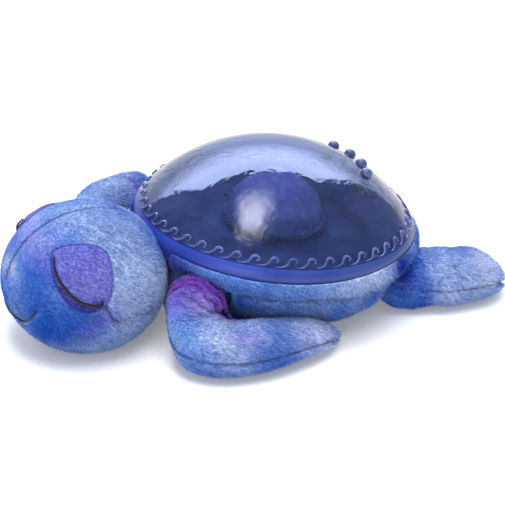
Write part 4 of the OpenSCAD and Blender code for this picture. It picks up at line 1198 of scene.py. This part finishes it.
def plastic(name, low, high, roughness, grain=900, depth=0.00015, coat=0.0, cloud=45):
    """Moulded plastic with a fine texture and slight colour drift."""
    rough = [(0.3, roughness - 0.06), (0.7, roughness + 0.06)]
    colours = [(0.32, low), (0.68, high)]
    return surface(
        name, (cloud, 3.0, 0.55), colours, (grain, 3.0, 0.6), rough, (0.35, depth), Coat_Weight=coat,
    )


def board_material():
    """Lacquered circuit board with copper tracks under the lacquer."""
    made, tree, shader = new_material("circuit_board", Roughness=0.3)
    tracks = node(
        tree, "ShaderNodeTexBrick", Scale=95.0, Mortar_Size=0.05, Color1=(0.010, 0.016, 0.075, 1),
        Color2=(0.014, 0.022, 0.095, 1), Mortar=(0.05, 0.06, 0.16, 1),
    )
    link(node(tree, "ShaderNodeTexCoord").outputs["Object"], tracks.inputs["Vector"])
    cloud = noise_node(tree, 120, 2.0, 0.5)
    shades = ramp(cloud, [(0.3, 0.8), (0.7, 1.1)])
    link(mix(tracks.outputs["Color"], shades, 0.8, "MULTIPLY"), shader.inputs["Base Color"])
    link(bump(tracks.outputs["Fac"], 0.3, 0.0001), shader.inputs["Normal"])
    return made


LENS_SPAN, LENS_WATER = (0.060, 0.092), (85, 2.0, 0.5, 0.8)
lens = graded(
    "lens_rippled", LENS_WATER, [(0.16, 0.22, 0.42), (0.34, 0.40, 0.62)],
    [(0.42, 0.44, 0.90), (0.72, 0.72, 1.0)], "Z", LENS_SPAN, LENS_WATER, (0.9, 0.003), Roughness=0.18,
    Transmission_Weight=0.45,
)
finish = {
    "shell": shell_clear,
    "lens": lens,
    "button": plastic("button_satin", (0.06, 0.085, 0.21), (0.10, 0.13, 0.28), 0.28, 1200, 0.0001, 0.4),
    "housing": plastic("housing_moulded", (0.055, 0.065, 0.36), (0.085, 0.095, 0.45), 0.45),
    # Painted caustics on the deck: clouded light and dark patches, as the shell's ripples would throw on plain
    # plastic
    "white_plastic": plastic("deck_painted_caustics", (0.02, 0.055, 0.15), (0.13, 0.21, 0.33), 0.4, cloud=30),
    "gear": plastic("gear_nylon", (0.62, 0.64, 0.66), (0.74, 0.75, 0.74), 0.42),
    "dark_plastic": plastic("dark_moulded", (0.012, 0.012, 0.016), (0.03, 0.03, 0.036), 0.5),
    "board": board_material(),
    "led": plastic("lamp_resin", (0.62, 0.66, 0.80), (0.85, 0.88, 0.95), 0.15, 700, 0.0001, 0.5),
    "steel": surface(
        "zinc_plate", (300, 3.0, 0.6, 0.0, (0, 0, 1), 10.0),
        [(0.3, (0.52, 0.53, 0.55)), (0.7, (0.70, 0.71, 0.73))], rough=[(0.3, 0.25), (0.7, 0.4)],
        relief=(0.15, 0.0001), Metallic=1.0,
    ),
    "cell": plastic("cell_wrapper", (0.035, 0.035, 0.045), (0.06, 0.06, 0.075), 0.32, 500, 0.0001, 0.3),
    "plush": plush,
    "plush_deep": plush,
    "eyelid": lid,
}
SHARP_ANGLE = math.radians(35)
slot_of = {part["node"]: part["material_slot"] for part in frame["record"]["subparts"]}
for name, obj in nodes.items():
    dress([obj], finish[slot_of[name]])
    obj.data.shade_smooth()
    obj.data.set_sharp_from_angle(angle=SHARP_ANGLE)


# Pile: short fibres on the stuffed pieces, combed and a little unruly

def fibre_material():
    """Tufts take the colour stored on their cloth, darkened by painted shade at the root and paled by a
    painted sheen at the tip, no two quite alike.
    """
    made, tree, shader = new_material("plush_fibre", Roughness=0.75, Specular_IOR_Level=0.08)
    dye_and_shade = stored_dye_and_shade(tree)
    strand = node(tree, "ShaderNodeHairInfo")
    # Painted sheen at the tip and painted shade at the root, along each strand
    tip = mix(dye_and_shade, (0.82, 0.89, 1.0), 0.02)
    root = mix(dye_and_shade, (0.50, 0.58, 0.86), 1.0, "MULTIPLY")
    strand_colour = mix(root, tip, strand.outputs["Intercept"])
    tones = [(0.0, (0.40, 0.47, 0.72)), (0.5, 0.95), (1.0, 1.25)]
    toned = mix(strand_colour, ramp(strand.outputs["Random"], tones), 1.0, "MULTIPLY")
    streak = noise_node(tree, 520, 2.0, 0.6, 0.3, COMB, 4.0)
    clump = ramp(streak, [(0.36, (0.55, 0.62, 0.84)), (0.60, 1.15)])
    link(mix(toned, clump, 1.0, "MULTIPLY"), shader.inputs["Base Color"])
    return made


fibre = fibre_material()
SQUARE_CM_PER_SQUARE_M = 1e4
TUFTS_PER_SQUARE_CM, COVER_LEVELS = 130, 20
PILE_RISE, PILE_LEAN, PILE_STRAY = 0.00036, 0.00062, 0.00022
PILE_FORM = dict(
    type="HAIR", use_advanced_hair=True, use_modifier_stack=True, distribution="RAND", hair_step=3,
    render_step=3, display_step=2, radius_scale=0.001, root_radius=0.30, tip_radius=0.07,
)


def grow_pile(obj, comb, seed, cover, length=1.0):
    """Grows tufts where cover is 1; they are short and sparse where it is near 0, as along a seam."""
    area = sum(face.area for face in obj.data.polygons) * SQUARE_CM_PER_SQUARE_M
    obj.data.materials.append(fibre)
    group = obj.vertex_groups.new(name="pile_cover")
    levels = np.round(np.clip(cover, 0, 1) * COVER_LEVELS).astype(int)
    for level in range(1, COVER_LEVELS + 1):
        group.add(np.nonzero(levels == level)[0].tolist(), level / COVER_LEVELS, "REPLACE")
    system = obj.modifiers.new("pile", "PARTICLE_SYSTEM").particle_system
    system.seed = seed
    system.vertex_group_density = "pile_cover"
    system.vertex_group_length = "pile_cover"
    settings = system.settings
    for key, value in PILE_FORM.items():
        setattr(settings, key, value)
    settings.count = int(area * TUFTS_PER_SQUARE_CM)
    settings.normal_factor = PILE_RISE * length
    settings.object_align_factor = tuple(PILE_LEAN * length * c for c in comb)
    settings.factor_random = PILE_STRAY * length
    settings.material = len(obj.data.materials)


def head_cover():
    """Bare under the eyelids, short along the seams, the lash lines and the mouth."""
    off_lid = smooth_step((lid_gap - 1.8) / 2.2)
    off_mouth = smooth_step((path_distance(points_of(head), mouth_whole)[0] - 0.8) / 2.5)
    return np.minimum(np.minimum(1 - head_seam, off_lid), off_mouth)


grow_pile(head, (0.5, 0.6, -0.5), 1, head_cover())
grow_pile(body, (0.3, 0.4, -0.6), 2, 1 - body_seam)
for seed, (key, (piece, seam, band, _)) in enumerate(flippers.items(), 3):
    side = -1 if key.endswith("right") else 1
    bare = 0.9 if key.startswith("front") else 0.2
    cover = (1 - seam) * (1 - bare * smooth_step(1.4 * band))
    grow_pile(piece, (0.4 * side, 0.85, -0.2), seed, cover)
for seed, (side, piece) in enumerate(eyelids.items(), 7):
    near_lash = bell(path_distance(points_of(piece) * [side, 1, 1], lash_path)[0], 0, 2.2)
    grow_pile(piece, (0.5 * side, 0.6, -0.5), seed, 1 - 0.9 * near_lash, 0.55)


# What each piece stands for and rides on

def stands_for(piece, body_name, slot, *replaced, fill=None):
    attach(piece, body_name)
    if replaced:
        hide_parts(*replaced)


stands_for(head, "turtle", "plush", "plush_head", fill=0.85)
stands_for(body, "turtle", "plush", "plush_body", "belly_panel", fill=0.75)
for key, (piece, _, _, _) in flippers.items():
    end, side = key.split("_")
    stands_for(piece, key, "plush", f"{end}_flipper_{side}", fill=0.75)
for side, name in SIDES.items():
    stands_for(eyelids[side], "turtle", "eyelid", f"eyelid_{name}", fill=0.7)
    stands_for(lashes[side], "turtle", "eyelid")
stands_for(mouth, "turtle", "plush")
stands_for(shell, "turtle", "shell", "shell_dome")
stands_for(wave_border, "turtle", "shell")


# Stage and light

scene.view_settings.view_transform = "Standard"
FLOOR_LIFT, FLOOR_DROP, FLOOR_HALF = 0.2, 0.0002, 6000

# White paper, lifted to plain white for the camera and still shaded by what stands on it
paper = surface(
    "studio_floor", (3, 2.0, 0.5), [(0.3, 0.90), (0.7, 0.93)], Roughness=0.8, Specular_IOR_Level=0.1,
    Emission_Color=(1, 1, 1, 1),
)
by_camera = node(paper.node_tree, "ShaderNodeLightPath").outputs["Is Camera Ray"]
lift = math_node("MULTIPLY", by_camera, FLOOR_LIFT)
link(lift, paper.node_tree.nodes["Principled BSDF"].inputs["Emission Strength"])
corners = [(x * FLOOR_HALF, y * FLOOR_HALF, 0) for x, y in ((-1, -1), (1, -1), (1, 1), (-1, 1))]
floor = mesh_object("floor", corners, [(0, 1, 2, 3)], False)
floor.location.z = -FLOOR_DROP
floor.data.materials.append(paper)

world = bpy.data.worlds.new("studio")
scene.world = world
world.use_nodes = True
sky = world.node_tree
back = sky.nodes["Background"]
path = node(sky, "ShaderNodeLightPath")


def sky_edge(value, low, high):
    """1 below low, 0 above high."""
    return between(value, low, high, (1.0, 0.0), "SMOOTHSTEP")


# A lit white backdrop behind the toy, in a dimmer room; the camera sees plain white all round
PANEL_TURN = math.radians(202)
turned = node(sky, "ShaderNodeMapping", vector_type="POINT", Rotation=(0, 0, PANEL_TURN))
link(node(sky, "ShaderNodeTexCoord").outputs["Generated"], turned.inputs["Vector"])
split = node(sky, "ShaderNodeSeparateXYZ")
link(turned.outputs["Vector"], split.inputs[0])
ahead = math_node("MAXIMUM", split.outputs["X"], 0.001)
sideways = math_node("ABSOLUTE", math_node("DIVIDE", split.outputs["Y"], ahead), 0.0)
upward = math_node("DIVIDE", split.outputs["Z"], ahead)
panel = math_node("MULTIPLY", sky_edge(sideways, 0.74, 0.86), sky_edge(upward, 1.28, 1.36))
room = mix((0.44, 0.45, 0.48), (1.25, 1.27, 1.32), panel)
glow = mix((6.6, 8.0, 13.0), (0.85, 1.0, 1.45), sky_edge(upward, 0.2, 0.9))
mirrored_room = mix((0.16, 0.23, 0.46), glow, panel)
lit = mix(room, mirrored_room, path.outputs["Is Glossy Ray"])
plain_white = math_node("MAXIMUM", path.outputs["Is Camera Ray"], path.outputs["Is Transmission Ray"])
link(mix(lit, (1.0, 1.0, 1.0), plain_white), back.inputs["Color"])
back.inputs["Strength"].default_value = 1.0


def softbox(name, place, aim, width, height, power):
    data = bpy.data.lights.new(name, "AREA")
    data.shape = "RECTANGLE"
    data.size = width
    data.size_y = height
    data.energy = power
    made = bpy.data.objects.new(name, data)
    made.location = place
    made.rotation_euler = (Vector(place) - Vector(aim)).to_track_quat("Z", "Y").to_euler()
    scene.collection.objects.link(made)
    return made


def soften(lamp_object, share):
    """Lets a softbox fade toward its edges, over that share of its sides."""
    data = lamp_object.data
    data.use_nodes = True
    tree = data.node_tree
    across = node(tree, "ShaderNodeSeparateXYZ")
    link(node(tree, "ShaderNodeNewGeometry").outputs["Parametric"], across.inputs[0])
    strength = 1.0
    for axis in ("X", "Y"):
        for low, high in ((0.0, share), (1.0, 1.0 - share)):
            edge = between(across.outputs[axis], low, high, kind="SMOOTHSTEP")
            strength = math_node("MULTIPLY", edge, strength)
    emission = next(n for n in tree.nodes if n.type == "EMISSION")
    link(strength, emission.inputs["Strength"])


window = softbox("window", (-0.10, -0.40, 3.45), (-0.10, -0.40, 0), 2.9, 1.6, 136)
window.rotation_euler = (0, 0, math.atan2(-0.57, 0.825))
soften(window, 0.45)
overhead = softbox("overhead", (0.9, -0.1, 3.1), (0, 0, 0), 1.6, 1.6, 54)
overhead.visible_glossy = False
overhead.visible_transmission = False
softbox("fill", (1.9, -2.2, 0.9), (0, -0.1, 0.05), 1.6, 1.2, 13)
